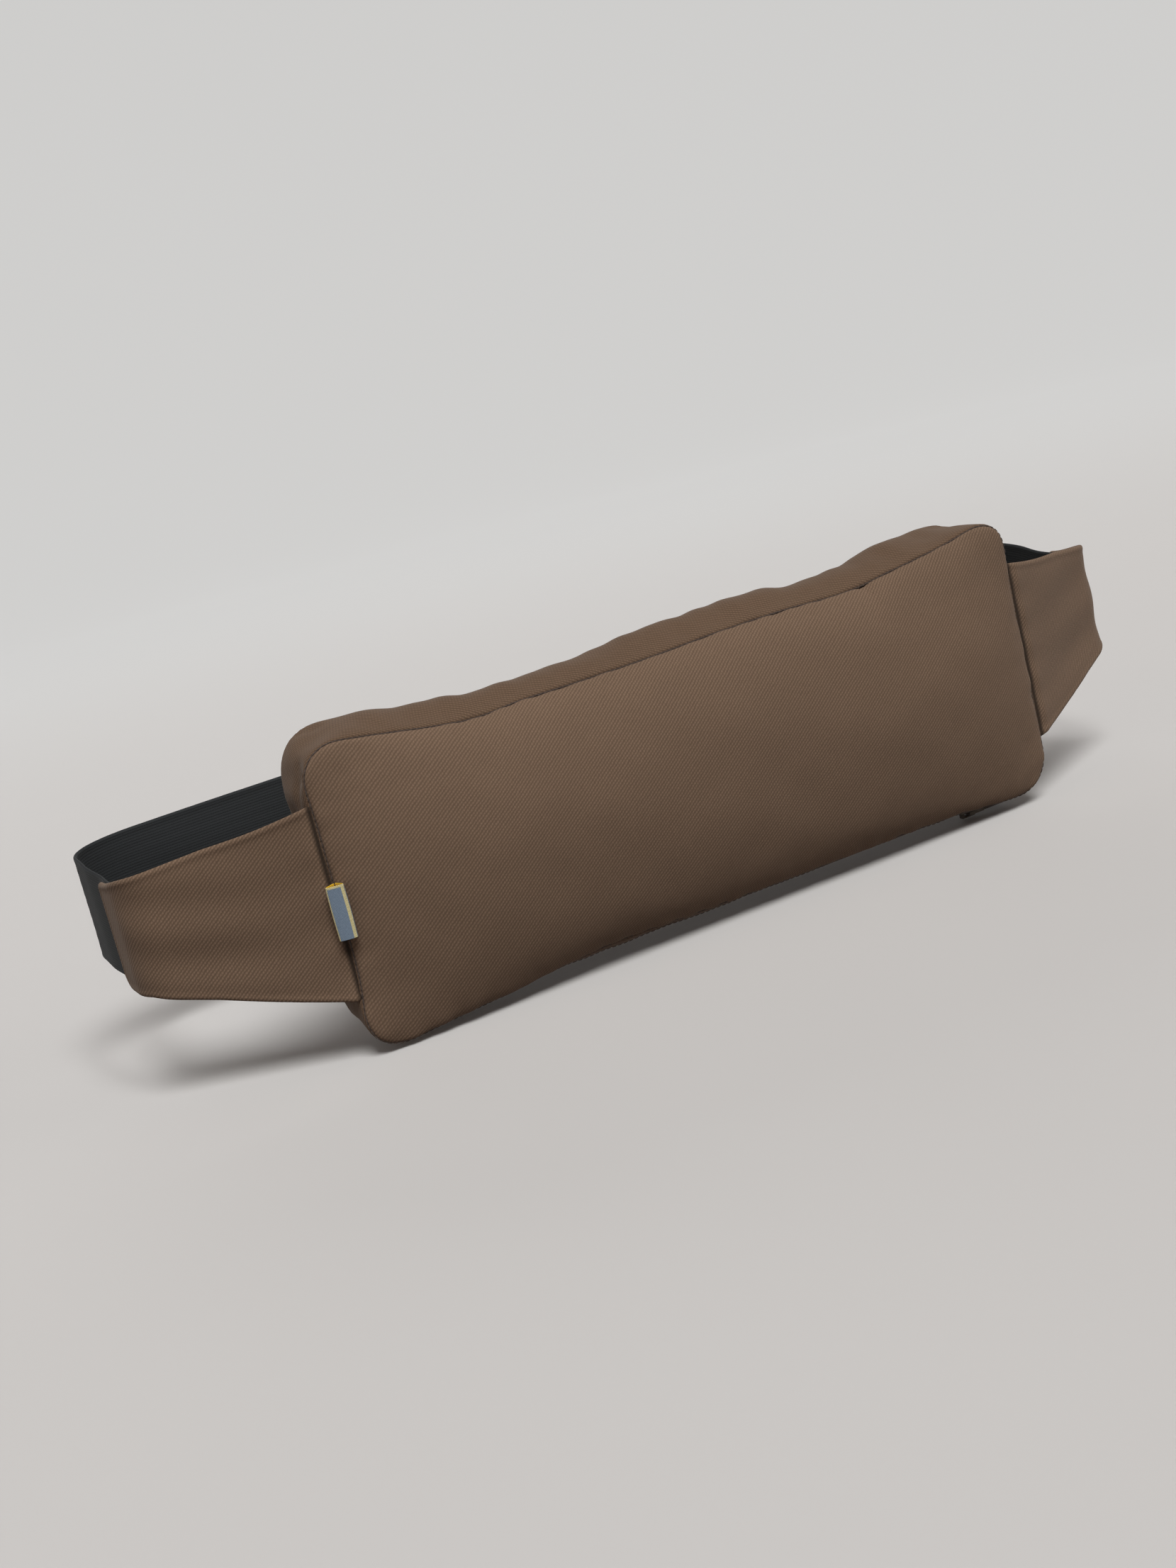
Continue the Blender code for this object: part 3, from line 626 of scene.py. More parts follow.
def panel(name, offset, front, mat, thickness=0.9 * MM):
    xs, zs = dense(2 * A, 2.6 * MM), dense(T - B, 2.5 * MM)
    tu, tv = xs / (2 * A) * NX, zs / (T - B) * NZ
    n = (NX + 1) * (NZ + 1)
    grid = COVER[offset:offset + n].reshape(NX + 1, NZ + 1, 3)

    def fine(g):
        g = read_curve(g, tu)
        return read_curve(g.swapaxes(0, 1), tv).swapaxes(0, 1)

    rest = fine(FLAT)
    P = settle(fine(grid), rest, 0.0 if front else 1.0)
    x, z = rest[..., 0], rest[..., 1]
    d, o = edge_field(x, z)
    N = grid_normals(P)
    if front:
        if N[..., 1].mean() > 0:
            N = -N
        inside = smooth_step(d / (16 * MM))
        soft = waves(rest, 66 * MM, 5) * 0.42 * MM + waves(rest, 27 * MM, 8) * 0.13 * MM
        P = P + N * (soft * inside)[..., None]
        # settled husks leave shallow hollows and puckers along the seams
        pucker = seam_ripple(x, z, 3) * np.exp(-(d / (9 * MM)) ** 1.3) * 0.34 * MM
        P = P + N * pucker[..., None]
        # one tighter pucker in the top seam, right of the middle, and two small drawn spots at the corners
        for px, pz, w, l, a in ((104, 69, 3.0, 15, 1.5), (92, 69, 4.0, 9, -0.5), (-160, 62, 4, 12, 0.6), (170, 58, 4, 12, 0.7), (-172, -52, 4, 12, 0.5), (60, 69, 4, 10, 0.5), (-30, 69, 5, 10, 0.35)):
            g = np.exp(-((x - px * MM) / (w * MM)) ** 2) * np.exp(-((z - pz * MM) / (l * MM)) ** 2)
            P = P - N * (g * a * MM)[..., None]
    else:
        if N[..., 1].mean() < 0:
            N = -N
        near = np.exp(-(d / (9 * MM)) ** 1.4)
        P = P - N * (np.abs(seam_ripple(x, z, 4)) * near * 0.5 * MM)[..., None]
        P[..., 1] = np.minimum(P[..., 1], 0.0)
    up = OUT_FRONT if front else -OUT_FRONT
    P = P - (0.62 * o + 0.78 * up) * (SEAM_DEPTH * roll(d, SEAM_W) + 0.35 * MM * np.exp(-d / (6 * MM)))[..., None]
    if not front:
        P[..., 1] = np.minimum(P[..., 1], 0.0)
    N = grid_normals(P)
    if (N[..., 1].mean() > 0) == front:
        N = -N
    inner = P - N * thickness
    ob = slab(name, P, inner, rest, mat)
    return ob, P, N, rest


def gusset(m, k):
    """Points of the filled gusset at ring places m and depth places k (0 at the front seam, NG at the back), with flat data: distance along the ring and out direction."""
    grid = COVER[np.array(ROWS)].swapaxes(0, 1)
    g = read_curve(grid, m, cyclic=True)
    g = read_curve(g.swapaxes(0, 1), k).swapaxes(0, 1)
    ring_flat = np.array([FLAT[r] for r in RING])
    rest = read_curve(ring_flat, m, cyclic=True)
    _, o = edge_field(rest[:, 0], rest[:, 1])
    g = settle(g, np.repeat(rest[:, None, :], len(k), 1), np.asarray(k)[None, :] / NG)
    return g, rest, o


_step = np.linalg.norm(np.diff(np.array([FLAT[r] for r in RING + RING[:1]]), axis=0), axis=1)
RING_S = np.concatenate([[0], np.cumsum(_step)])


def ring_m(s):
    """Ring place at distance s along the outline."""
    s = np.asarray(s, float) % RING_S[-1]
    return np.interp(s, RING_S, np.arange(NR + 1))


def gusset_piece(name, s0, s1, y0, y1, mat, folds=(False, False), ends=False, thickness=0.9 * MM, step=2.4 * MM, lift=0.0):
    """A strip of the gusset from s0 to s1 along the outline and y0 to y1 in depth. A fold is an edge turned in beside the zip; the others run into the panels' seams."""
    S = s0 + (dense(s1 - s0, step) if ends else np.linspace(0, s1 - s0, int((s1 - s0) / step) + 1))
    depth = dense(y1 - y0, 2.0 * MM, (0, .25, .6, 1.1, 1.7, 2.4, 3.3))
    Y = y0 + depth
    k = (Y - SY) / (-SY) * NG
    P, rest, o = gusset(ring_m(S), k)
    o3 = np.repeat(o[:, None, :], len(Y), axis=1)
    flat_uv = np.stack([np.repeat(S[:, None], len(Y), 1), np.repeat(Y[None, :], len(S), 0)], axis=-1)
    df = np.repeat((Y - SY)[None, :], len(S), 0)
    db = np.repeat((-Y)[None, :], len(S), 0)
    share = np.clip(df / (-SY), 0, 1)
    N = grid_normals(P)
    if (N * o3).sum(-1).mean() < 0:
        N = -N
    top = np.maximum(np.abs(o3[..., 0]), np.maximum(o3[..., 2], 0))
    soft = waves(flat_uv, 34 * MM, 21) * 0.55 * MM + waves(flat_uv * np.array([1, .35]), 15 * MM, 22) * 0.38 * MM
    soft = soft * np.sin(np.pi * share) ** 0.6 * (0.35 + 0.65 * top)
    P = P + N * soft[..., None]
    for dist, up, fold in ((df, OUT_FRONT, folds[0]), (db, -OUT_FRONT, folds[1])):
        if fold:
            continue
        P = P - (0.62 * o3 + 0.78 * up) * (SEAM_DEPTH * roll(dist, SEAM_W) + 0.3 * MM * np.exp(-dist / (5 * MM)))[..., None]
    for edge, fold in ((0, folds[0]), (1, folds[1])):
        if fold:
            dd = depth if edge == 0 else depth[-1] - depth
            P = P - o3 * (1.3 * MM * roll(dd, 1.5 * MM))[None, :, None]
            P = P + o3 * (0.35 * MM * np.exp(-((dd - 3.2 * MM) / (1.6 * MM)) ** 2))[None, :, None]
    if ends:
        dd = np.minimum(S - s0, s1 - S)
        P = P - o3 * (1.1 * MM * roll(dd, 1.5 * MM))[:, None, None]
    if lift:
        P = P + o3 * lift
    N = grid_normals(P)
    if (N * o3).sum(-1).mean() < 0:
        N = -N
    ob = slab(name, P, P - N * thickness, flat_uv, mat)
    return ob, P, N, S, Y


front_ob, FP, FN, FREST = panel("front_panel_cloth", 0, True, MAT["twill"])
back_ob, BP, BN, BREST = panel("back_panel_cloth", K, False, MAT["twill"])
s_right = (STRIP_END - 1.5 * MM) + A        # the outline starts at the left bottom corner, so s is x + A along the bottom
s_left = RING_S[-1] + (A - STRIP_END + 1.5 * MM)
box_ob, GP, GN, GS, GY = gusset_piece("boxing_cloth", s_right, s_left, SY, 0.0, MAT["gusset"], ends=True)
for piece, node in ((front_ob, "front_panel"), (back_ob, "back_panel"), (box_ob, "boxing_strip")):
    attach(piece, "root")
    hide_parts(node)

zs0, zs1 = A - STRIP_END, A + STRIP_END
sf_ob, SFP, SFN, SFS, SFY = gusset_piece("zip_strip_front_cloth", zs0, zs1, SY, ZIP_Y - SLOT, MAT["gusset"], folds=(False, True), lift=-0.4 * MM)
sb_ob, SBP, SBN, SBS, SBY = gusset_piece("zip_strip_back_cloth", zs0, zs1, ZIP_Y + SLOT, 0.0, MAT["gusset"], folds=(True, False), lift=-0.4 * MM)
for piece, node in ((sf_ob, "zip_strip_front"), (sb_ob, "zip_strip_back")):
    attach(piece, "root")
    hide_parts(node)

# ------------------------------------------------------------------ seams: thread lying in the groove between panel and gusset, over a dark cord of painted shade at the groove's bottom
def ring_line(k_depth, push, step=1.0 * MM, s0=0.0, s1=None):
    S = np.arange(s0, s1 if s1 is not None else RING_S[-1], step)
    P, rest, o = gusset(ring_m(S), np.array([k_depth]))
    P = P[:, 0, :]
    up = OUT_FRONT if k_depth < NG / 2 else -OUT_FRONT
    if k_depth > NG / 2:
        P[:, 1] = np.minimum(P[:, 1], 0)
    bis = 0.62 * o + 0.78 * up
    return P - bis * push, bis


def closed_cord(name, line, radius, mat, sides=6):
    """A thin round cord along a closed line of points: painted shade, a dark cord laid at the bottom of a seam's groove
    to stand in for its shadow.
    """
    n = len(line)
    tan = np.roll(line, -1, 0) - np.roll(line, 1, 0)
    tan /= np.linalg.norm(tan, axis=1, keepdims=True)
    u = np.cross(tan, np.array([0.0, 1.0, 0.0]))
    u /= np.linalg.norm(u, axis=1, keepdims=True)
    w = np.cross(tan, u)
    verts, faces = [], []
    for i in range(n):
        for k in range(sides):
            t = 2 * math.pi * k / sides
            verts.append(line[i] + (u[i] * math.cos(t) + w[i] * math.sin(t)) * radius)
            j = (i + 1) % n
            faces.append((i * sides + k, i * sides + (k + 1) % sides, j * sides + (k + 1) % sides, j * sides + k))
    o = make_object(name, verts, faces, mat)
    face_out(o)
    return o


# painted shade: dark cords in the thread's colour at the bottom of the front and back grooves, standing in for their
# shadow
line, ups = ring_line(0.0, SEAM_DEPTH - 0.25 * MM, 1.5 * MM)
front_shade_cord = closed_cord("front_seam_shade_cord", line, 0.42 * MM, MAT["thread"])
line, ups = ring_line(0.0, SEAM_DEPTH - 0.75 * MM)
front_thread = capsules("front_seam_thread", stitch_places(line, ups, 3.0 * MM), 2.1 * MM, 0.26 * MM, MAT["thread"])
line, ups = ring_line(float(NG), SEAM_DEPTH - 0.25 * MM, 1.5 * MM)
back_shade_cord = closed_cord("back_seam_shade_cord", line, 0.38 * MM, MAT["thread"])
line, ups = ring_line(float(NG), SEAM_DEPTH - 0.7 * MM)
back_thread = capsules("back_seam_thread", stitch_places(line, ups, 3.0 * MM), 2.1 * MM, 0.26 * MM, MAT["thread"])


def strip_topstitch(name, P, N, Y, at_y):
    j = int(np.argmin(np.abs(Y - at_y)))
    return capsules(name, stitch_places(P[:, j] + N[:, j] * 0.08 * MM, N[:, j], 3.0 * MM), 2.2 * MM, 0.26 * MM, MAT["thread"])


strip_a = strip_topstitch("zip_front_topstitch", SFP, SFN, SFY, ZIP_Y - SLOT - 3.2 * MM)
strip_b = strip_topstitch("zip_back_topstitch", SBP, SBN, SBY, ZIP_Y + SLOT + 3.2 * MM)
for t in (front_shade_cord, front_thread, back_shade_cord, back_thread, strip_a, strip_b):
    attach(t, "root")

# ------------------------------------------------------------------ wings
def wing_xy(s, off):
    """The right wing's middle line at length s, moved out by off, as arrays: straight, round the backrest's corner, straight."""
    s = np.asarray(s, float)
    h = np.clip(WING_ANGLE + (s - WING_LINE) / WING_BEND, WING_ANGLE, math.pi / 2)
    x = WING_X + np.minimum(s, WING_LINE) * math.cos(WING_ANGLE) + WING_BEND * (np.sin(h) - math.sin(WING_ANGLE))
    y = WING_Y + np.minimum(s, WING_LINE) * math.sin(WING_ANGLE) + WING_BEND * (math.cos(WING_ANGLE) - np.cos(h))
    y = y + np.maximum(s - WING_LINE - WING_ARC, 0)
    return x + off * np.sin(h), y - off * np.cos(h)


def uphill(P):
    """The belt as it lies on a backrest: a little higher to the right, higher where it goes round the back, and standing out a little at the back corners."""
    P = np.array(P, float)
    x = np.abs(P[..., 0])
    P[..., 0] += np.sign(P[..., 0]) * 2.6 * MM * smooth_step((P[..., 1] - 44 * MM) / (24 * MM)) * smooth_step((x - 234 * MM) / (26 * MM))
    P[..., 2] += 0.0115 * P[..., 0] + 5.5 * MM * smooth_step((P[..., 1] - 30 * MM) / (58 * MM))
    return P


def wing_edges(s, inset=0.0):
    f = np.clip(s / WING_LENGTH, 0, 1)
    top = 31 * MM + 15 * MM * (1 - f) ** 1.2 - 0.9 * MM * np.sin(np.pi * np.clip(s / (50 * MM), 0, 1)) - 1.3 * MM * smooth_step((s - 88 * MM) / (26 * MM))
    low = -21 * MM - 23 * MM * np.clip(1 - s / (90 * MM), 0, 1) ** 1.05 - 0.8 * MM * np.sin(np.pi * np.clip(s / (60 * MM), 0, 1))
    for r, up in ((9 * MM, True), (5 * MM, False)):
        d = np.clip(s - (WING_LENGTH - r), 0, r)
        cut = r - np.sqrt(np.maximum(r * r - d * d, 0))
        if up:
            low = low + cut
        else:
            top = top - cut
    return low + inset, top - inset


def wing_shape(side, s, z, off):
    """Places on a wing with its soft waves and puckers: off is the distance out from the middle of the cloth."""
    low, top = wing_edges(s)
    mid = smooth_step(s / (55 * MM)) * (1 - smooth_step((s - 88 * MM) / (26 * MM)))
    q = np.stack([s * 0.35, z], axis=-1)
    wave = waves(q, 34 * MM, 31 if side < 0 else 35, 10) * 0.26 * MM * mid
    crest = 4 * MM + 10 * MM * (s / (80 * MM)) ** 2 if side < 0 else 2 * MM + 9 * MM * (s / (70 * MM))
    fold = -(0.4 if side < 0 else 0.55) * MM * np.sin(2 * np.pi * (z - crest) / ((25 if side < 0 else 29) * MM)) * mid
    near = np.exp(-np.maximum(s, 0) / (10 * MM)) * np.clip(s / (3 * MM), 0, 1)
    pk = 0.42 * MM * np.sin(2 * np.pi * z / ((17 if side > 0 else 23) * MM) + 0.6) * near
    x, y = wing_xy(s, off + wave + fold + pk)
    tuck = np.clip((4.2 * MM - s) / (6.7 * MM), 0, 1) ** 1.6
    x = x - 2.3 * MM * tuck
    y = y + 2.6 * MM * tuck
    return uphill(np.stack([side * x, y, z], axis=-1))


def wing_grid(s_list, inset, near, step_n=26):
    S = np.asarray(s_list, float)
    low, top = wing_edges(S, inset)
    near = np.array(near) * MM
    cols = []
    for lo, hi in zip(low, top):
        inner = np.linspace(lo + near[-1], hi - near[-1], step_n)
        cols.append(np.concatenate([lo + near[:-1], inner, hi - near[:-1][::-1]]))
    Z = np.array(cols)
    return np.repeat(S[:, None], Z.shape[1], 1), Z


def wing_rim(S, Z, inset=0.0):
    low, top = wing_edges(S, inset)
    return np.clip(np.minimum(np.minimum(Z - low, top - Z), WING_LENGTH - inset - S), 0, None)


def make_wing(side, word):
    near = (0, .2, .5, .9, 1.4, 1.9, 2.3, 3.0, 3.9, 5.2)
    tail = [WING_LENGTH - x * MM for x in (5.2, 3.9, 3.0, 2.3, 1.9, 1.4, .9, .5, .2, 0)]
    head = [x * MM for x in (-2.5, -1.8, -1.1, -0.5, 0.1, 0.8, 1.5, 2.3, 3.2, 4.2, 5.4)]
    S, Z = wing_grid(head + list(np.linspace(7.2 * MM, tail[0] - 2 * MM, 48)) + tail, 0.0, near, 30)
    d = wing_rim(S, Z)
    half = 1.05 * MM + 0.24 * MM * np.exp(-((d - 1.8 * MM) / (1.1 * MM)) ** 2) - 0.08 * MM * np.exp(-((d - 4.4 * MM) / (1.4 * MM)) ** 2)
    half = half * (1 - 0.55 * np.clip((4.5 * MM - S) / (7 * MM), 0, 1))
    rim = np.sqrt(np.maximum(1 - np.clip(1 - d / (1.2 * MM), 0, 1) ** 2, 0))
    out = wing_shape(side, S, Z, half * rim)
    wrap = smooth_step((d - 1.9 * MM) / (0.5 * MM))
    back = wing_shape(side, S, Z, -half * rim * (1 - wrap) + 0.05 * MM * wrap)
    uv = np.stack([S * side, Z], axis=-1)
    face = slab("wing_" + word + "_face_cloth", out, back, uv, MAT["wing"])
    # the lining is set in from the turned edge
    inset = 2.6 * MM
    near2 = (0, .25, .6, 1.1, 1.8, 3.0)
    tail2 = [WING_LENGTH - inset - x * MM for x in (3.0, 1.8, 1.1, .6, .25, 0)]
    S2, Z2 = wing_grid(head + list(np.linspace(7.5 * MM, tail2[0] - 2 * MM, 40)) + tail2, inset, near2, 24)
    d2 = wing_rim(S2, Z2, inset)
    rim2 = np.sqrt(np.maximum(1 - np.clip(1 - d2 / (0.9 * MM), 0, 1) ** 2, 0))
    o2 = wing_shape(side, S2, Z2, -0.06 * MM * np.ones_like(S2))
    i2 = wing_shape(side, S2, Z2, -0.12 * MM - 0.95 * MM * rim2)
    lin = slab("wing_" + word + "_lining_cloth", o2, i2, np.stack([S2 * side, Z2], axis=-1), MAT["lining"])
    # slip stitches that close the lining on the turned edge
    pts, ups = [], []
    Sr = np.linspace(6 * MM, WING_LENGTH - inset, 120)
    lo, hi = wing_edges(Sr, inset)
    loop = [(s, z) for s, z in zip(Sr, lo)] + [(WING_LENGTH - inset, z) for z in np.linspace(lo[-1], hi[-1], 16)[1:-1]] + [(s, z) for s, z in zip(Sr[::-1], hi[::-1])]
    ls, lz = np.array(loop).T
    line = wing_shape(side, ls, lz, -0.95 * MM * np.ones_like(ls))
    line2 = wing_shape(side, ls, lz, -2.0 * MM * np.ones_like(ls))
    up = line2 - line
    sl = capsules("wing_" + word + "_lining_stitches", stitch_places(line, up, 3.4 * MM), 1.9 * MM, 0.22 * MM, MAT["thread"])
    for o in (face, lin, sl):
        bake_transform(o)
    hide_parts("wing_" + word + "_face")
    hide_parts("wing_" + word + "_lining")
    lo, hi = wing_edges(np.linspace(0, WING_LENGTH, 200))
    return face


make_wing(1, "right")
make_wing(-1, "left")


# ------------------------------------------------------------------ elastic
def belt_line(back_y, tip_x, step=3.0 * MM):
    """Middle line of the elastic's right half: from under the wing, round the backrest, to its tip. Gives points, outward directions and lengths."""
    r = back_y - BEND_Y
    p, n = [], []
    k = int((BEND_Y - BELT_START) / step)
    for i in range(k):
        p.append((BELT_X, BELT_START + (BEND_Y - BELT_START) * i / k)); n.append((1, 0))
    k = int(r * math.pi / 2 / (step * 0.7))
    for i in range(k):
        t = math.pi / 2 * i / k
        p.append((BELT_X - r + r * math.cos(t), BEND_Y + r * math.sin(t))); n.append((math.cos(t), math.sin(t)))
    x0 = BELT_X - r
    k = int(abs(x0 - tip_x) / step)
    for i in range(k + 1):
        p.append((x0 + (tip_x - x0) * i / k, back_y)); n.append((0, 1))
    p, n = np.array(p), np.array(n, float)
    s = np.concatenate([[0], np.cumsum(np.linalg.norm(np.diff(p, axis=0), axis=1))])
    return p, n, s


def make_belt(side, word, back_y, tip_x):
    p, n, s = belt_line(back_y, tip_x)
    total = s[-1]
    near = np.array([0, .15, .4, .8, 1.4, 2.2]) * MM
    extra = [total - x * MM for x in (5, 3.6, 2.4, 1.4, .8, .4, .15)]
    S = np.array(sorted([x for x in s if x < total - 5.5 * MM] + extra + [total] + [x * MM for x in (.15, .4, .8, 1.4)]))
    px = np.stack([np.interp(S, s, p[:, 0]), np.interp(S, s, p[:, 1])], axis=1)
    nx = np.stack([np.interp(S, s, n[:, 0]), np.interp(S, s, n[:, 1])], axis=1)
    nx /= np.linalg.norm(nx, axis=1, keepdims=True)
    width = BELT_TOP - BELT_LOW
    z_in = np.concatenate([near[:-1], np.linspace(near[-1], width - near[-1], 30), width - near[:-1][::-1]])
    r_tip = 4 * MM
    Z = np.zeros((len(S), len(z_in)))
    for i, si in enumerate(S):
        d = max(0.0, si - (total - r_tip))
        cut = r_tip - math.sqrt(max(r_tip ** 2 - d ** 2, 0))
        lo, hi = BELT_LOW + cut, BELT_TOP - cut
        Z[i] = lo + z_in / width * (hi - lo)
    SS = np.repeat(S[:, None], Z.shape[1], 1)
    d = np.minimum(np.minimum(Z - Z[:, :1], Z[:, -1:] - Z), np.minimum(total - SS, SS + 0.0))
    rim = np.sqrt(np.maximum(1 - np.clip(1 - d / (0.7 * MM), 0, 1) ** 2, 0))
    hem = 0.0 * SS
    rib = 0.05 * MM * np.cos(2 * np.pi * (Z - BELT_LOW) / (5.4 * MM))
    edge = 0.12 * MM * np.exp(-((d - 1.4 * MM) / (0.8 * MM)) ** 2)
    t_out = (0.66 * MM + edge + rib + hem) * rim
    t_in = (0.66 * MM + edge + rib) * rim
    # the band bows a little between its edges and along its length, as worn elastic does
    quiet = np.clip((SS - 30 * MM) / (60 * MM), 0, 1) * np.clip((total - 130 * MM - SS) / (60 * MM), 0, 1)
    bow = 0.5 * MM * waves(np.stack([SS * 0.5, Z], -1), 45 * MM, 41 + side, 8) * quiet

    def place(off):
        return uphill(np.stack([side * (px[:, None, 0] + nx[:, None, 0] * off), px[:, None, 1] + nx[:, None, 1] * off, Z], axis=-1))

    o = slab("elastic_" + word + "_band", place(bow + t_out), place(bow - t_in), np.stack([SS * side, Z], -1), MAT["elastic"])
    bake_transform(o)
    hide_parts("elastic_" + word)
    return o, (p, n, s, total)


belt_r, line_r = make_belt(1, "right", OUTER_Y, OUTER_TIP)
belt_l, line_l = make_belt(-1, "left", INNER_Y, INNER_TIP)


def rounded_loop(x0, x1, z0, z1, r, step=1.0 * MM):
    """Points round a rectangle with round corners, in X and Z."""
    pts = []
    for cx, cz, a in ((x1 - r, z0 + r, -90), (x1 - r, z1 - r, 0), (x0 + r, z1 - r, 90), (x0 + r, z0 + r, 180)):
        for i in range(7):
            t = math.radians(a + 15 * i)
            pts.append((cx + r * math.cos(t), cz + r * math.sin(t)))
    pts.append(pts[0])
    pts = np.array(pts)
    s = np.concatenate([[0], np.cumsum(np.linalg.norm(np.diff(pts, axis=0), axis=1))])
    t = np.linspace(0, s[-1], int(s[-1] / step))
    return np.stack([np.interp(t, s, pts[:, 0]), np.interp(t, s, pts[:, 1])], axis=1)


def patch(name, node, body, mat, face_sign, pile):
    """A patch of hook or loop tape with round corners: a woven ground, and hooks or pile standing on its working face."""
    lo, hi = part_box(node)
    nx_, nz_ = int((hi.x - lo.x) / (1.0 * MM)), int((hi.z - lo.z) / (1.0 * MM))
    xs, zs = np.linspace(lo.x, hi.x, nx_), np.linspace(lo.z, hi.z, nz_)
    X, Z = np.meshgrid(xs, zs, indexing="ij")
    r = 4 * MM
    cx, cz, hx, hz = (lo.x + hi.x) / 2, (lo.z + hi.z) / 2, (hi.x - lo.x) / 2, (hi.z - lo.z) / 2
    ax, az = np.abs(X - cx), np.abs(Z - cz)
    corner = (ax > hx - r) & (az > hz - r)
    pu, qv = np.clip((ax - (hx - r)) / r, 0, 1), np.clip((az - (hz - r)) / r, 0, 1)
    ax = np.where(corner, hx - r + r * pu * np.sqrt(1 - qv * qv / 2), ax)
    az = np.where(corner, hz - r + r * qv * np.sqrt(1 - pu * pu / 2), az)
    X, Z = cx + np.sign(X - cx) * ax, cz + np.sign(Z - cz) * az
    rng = np.random.default_rng(len(name))
    y_mid = (lo.y + hi.y) / 2
    ground = 0.35 * MM
    edge = np.minimum(hx - ax, hz - az)
    top = np.where(edge < 1.6 * MM, 0.12 * MM, 0.16 * MM + pile * rng.random(X.shape) * 0.28 * MM)
    ya = y_mid + face_sign * top
    yb = np.full_like(ya, y_mid - face_sign * ground)
    a, b = uphill(np.stack([X, ya, Z], -1)), uphill(np.stack([X, yb, Z], -1))
    o = slab(name, a, b, np.stack([X, Z], -1), mat)
    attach(o, body)
    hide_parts(node)
    return o, (lo, hi)


hook_ob, hook_box = patch("hook_patch_tape", "hook_patch", "right_belt", MAT["hook"], -1, 1.0)
loop_ob, loop_box = patch("loop_patch_tape", "loop_patch", "left_belt", MAT["loop"], 1, 1.4)


def flat_stitches(name, pts, y, up, body, pitch=3.2 * MM):
    line = uphill(np.stack([pts[:, 0], np.full(len(pts), y), pts[:, 1]], axis=-1))
    ups = np.repeat(np.array([[0, up, 0]], float), len(pts), 0)
    o = capsules(name, stitch_places(line, ups, pitch), 2.3 * MM, 0.24 * MM, MAT["black_thread"])
    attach(o, body)
    return o


lo, hi = hook_box
loop_pts = rounded_loop(lo.x + 2 * MM, hi.x - 2 * MM, lo.z + 2 * MM, hi.z - 2 * MM, 3 * MM)
flat_stitches("hook_patch_stitches_outside", loop_pts, OUTER_Y + 0.74 * MM, 1, "right_belt")
flat_stitches("hook_patch_stitches_inside", loop_pts, (lo.y + hi.y) / 2 - 0.2 * MM, -1, "right_belt")
lo, hi = loop_box
loop_pts = rounded_loop(lo.x + 2 * MM, hi.x - 2 * MM, lo.z + 2 * MM, hi.z - 2 * MM, 3 * MM)
flat_stitches("loop_patch_stitches_inside", loop_pts, INNER_Y - 0.74 * MM, -1, "left_belt")
flat_stitches("loop_patch_stitches_outside", loop_pts, (lo.y + hi.y) / 2 + 0.2 * MM, 1, "left_belt")

# box stitches that hold each half of the elastic on its wing's lining
for side, word in ((1, "right"), (-1, "left")):
    y0, y1, z0, z1 = BELT_START + 2.5 * MM, WING_END_Y - 4 * MM, BELT_LOW + 4 * MM, BELT_TOP - 6 * MM
    loop = rounded_loop(y0, y1, z0, z1, 0.6 * MM)
    diag = [np.linspace((y0, z0), (y1, z1), 50), np.linspace((y0, z1), (y1, z0), 50)]
    places = []
    for pts in [loop] + diag:
        line = uphill(np.stack([np.full(len(pts), side * (BELT_X - 0.74 * MM)), pts[:, 0], pts[:, 1]], axis=-1))
        places += stitch_places(line, np.repeat(np.array([[-side, 0, 0]], float), len(pts), 0), 3.2 * MM)
    o = capsules("elastic_" + word + "_box_stitch", places, 2.3 * MM, 0.24 * MM, MAT["black_thread"])
    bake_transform(o)


# ------------------------------------------------------------------ side label: a short loop of ribbon, plain with a plain stripe
LABEL_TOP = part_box("side_label")[1].z - 1.5 * MM


def label_material():
    n = Nodes("label_ribbon_weave")
    u, v = n.uv()
    weave = n.math("MULTIPLY_ADD", n.math("MULTIPLY", n.math("SINE", n.math("MULTIPLY", u, math.pi / (0.45 * MM))), n.math("SINE", n.math("MULTIPLY", v, math.pi / (0.45 * MM)))), 0.5, 0.5)
    fuzz = n.noise(1200, 2.0)
    base = n.ramp(n.math("ADD", n.math("MULTIPLY", weave, 0.35), n.math("MULTIPLY", fuzz, 0.65)), [(0.2, (0.115, 0.160, 0.215)), (0.55, (0.165, 0.225, 0.300)), (0.9, (0.25, 0.32, 0.40))])
    yarn = n.math("ADD", n.math("MULTIPLY", weave, 0.4), n.math("MULTIPLY", fuzz, 0.6))
    gold = n.ramp(yarn, [(0.2, (0.55, 0.33, 0.01)), (0.8, (0.88, 0.58, 0.03))])
    pale = n.ramp(yarn, [(0.25, (0.42, 0.36, 0.16)), (0.75, (0.72, 0.66, 0.38))])
    stripe = n.math("MULTIPLY", n.math("GREATER_THAN", u, 2.5 * MM), n.math("LESS_THAN", u, 3.9 * MM))
    edge = n.math("MAXIMUM", n.math("GREATER_THAN", v, LABEL_TOP - 0.9 * MM), n.math("LESS_THAN", n.math("ABSOLUTE", n.math("ADD", u, 3.7 * MM)), 0.35 * MM))
    col = n.mix(n.math("MAXIMUM", stripe, edge), base, pale)
    col = n.mix(n.math("GREATER_THAN", v, 0.05), col, gold)
    nor = n.bump(weave, 0.06 * MM, 0.5)
    return n.end(col, 0.6, nor, sheen=0.1, specular=0.35)


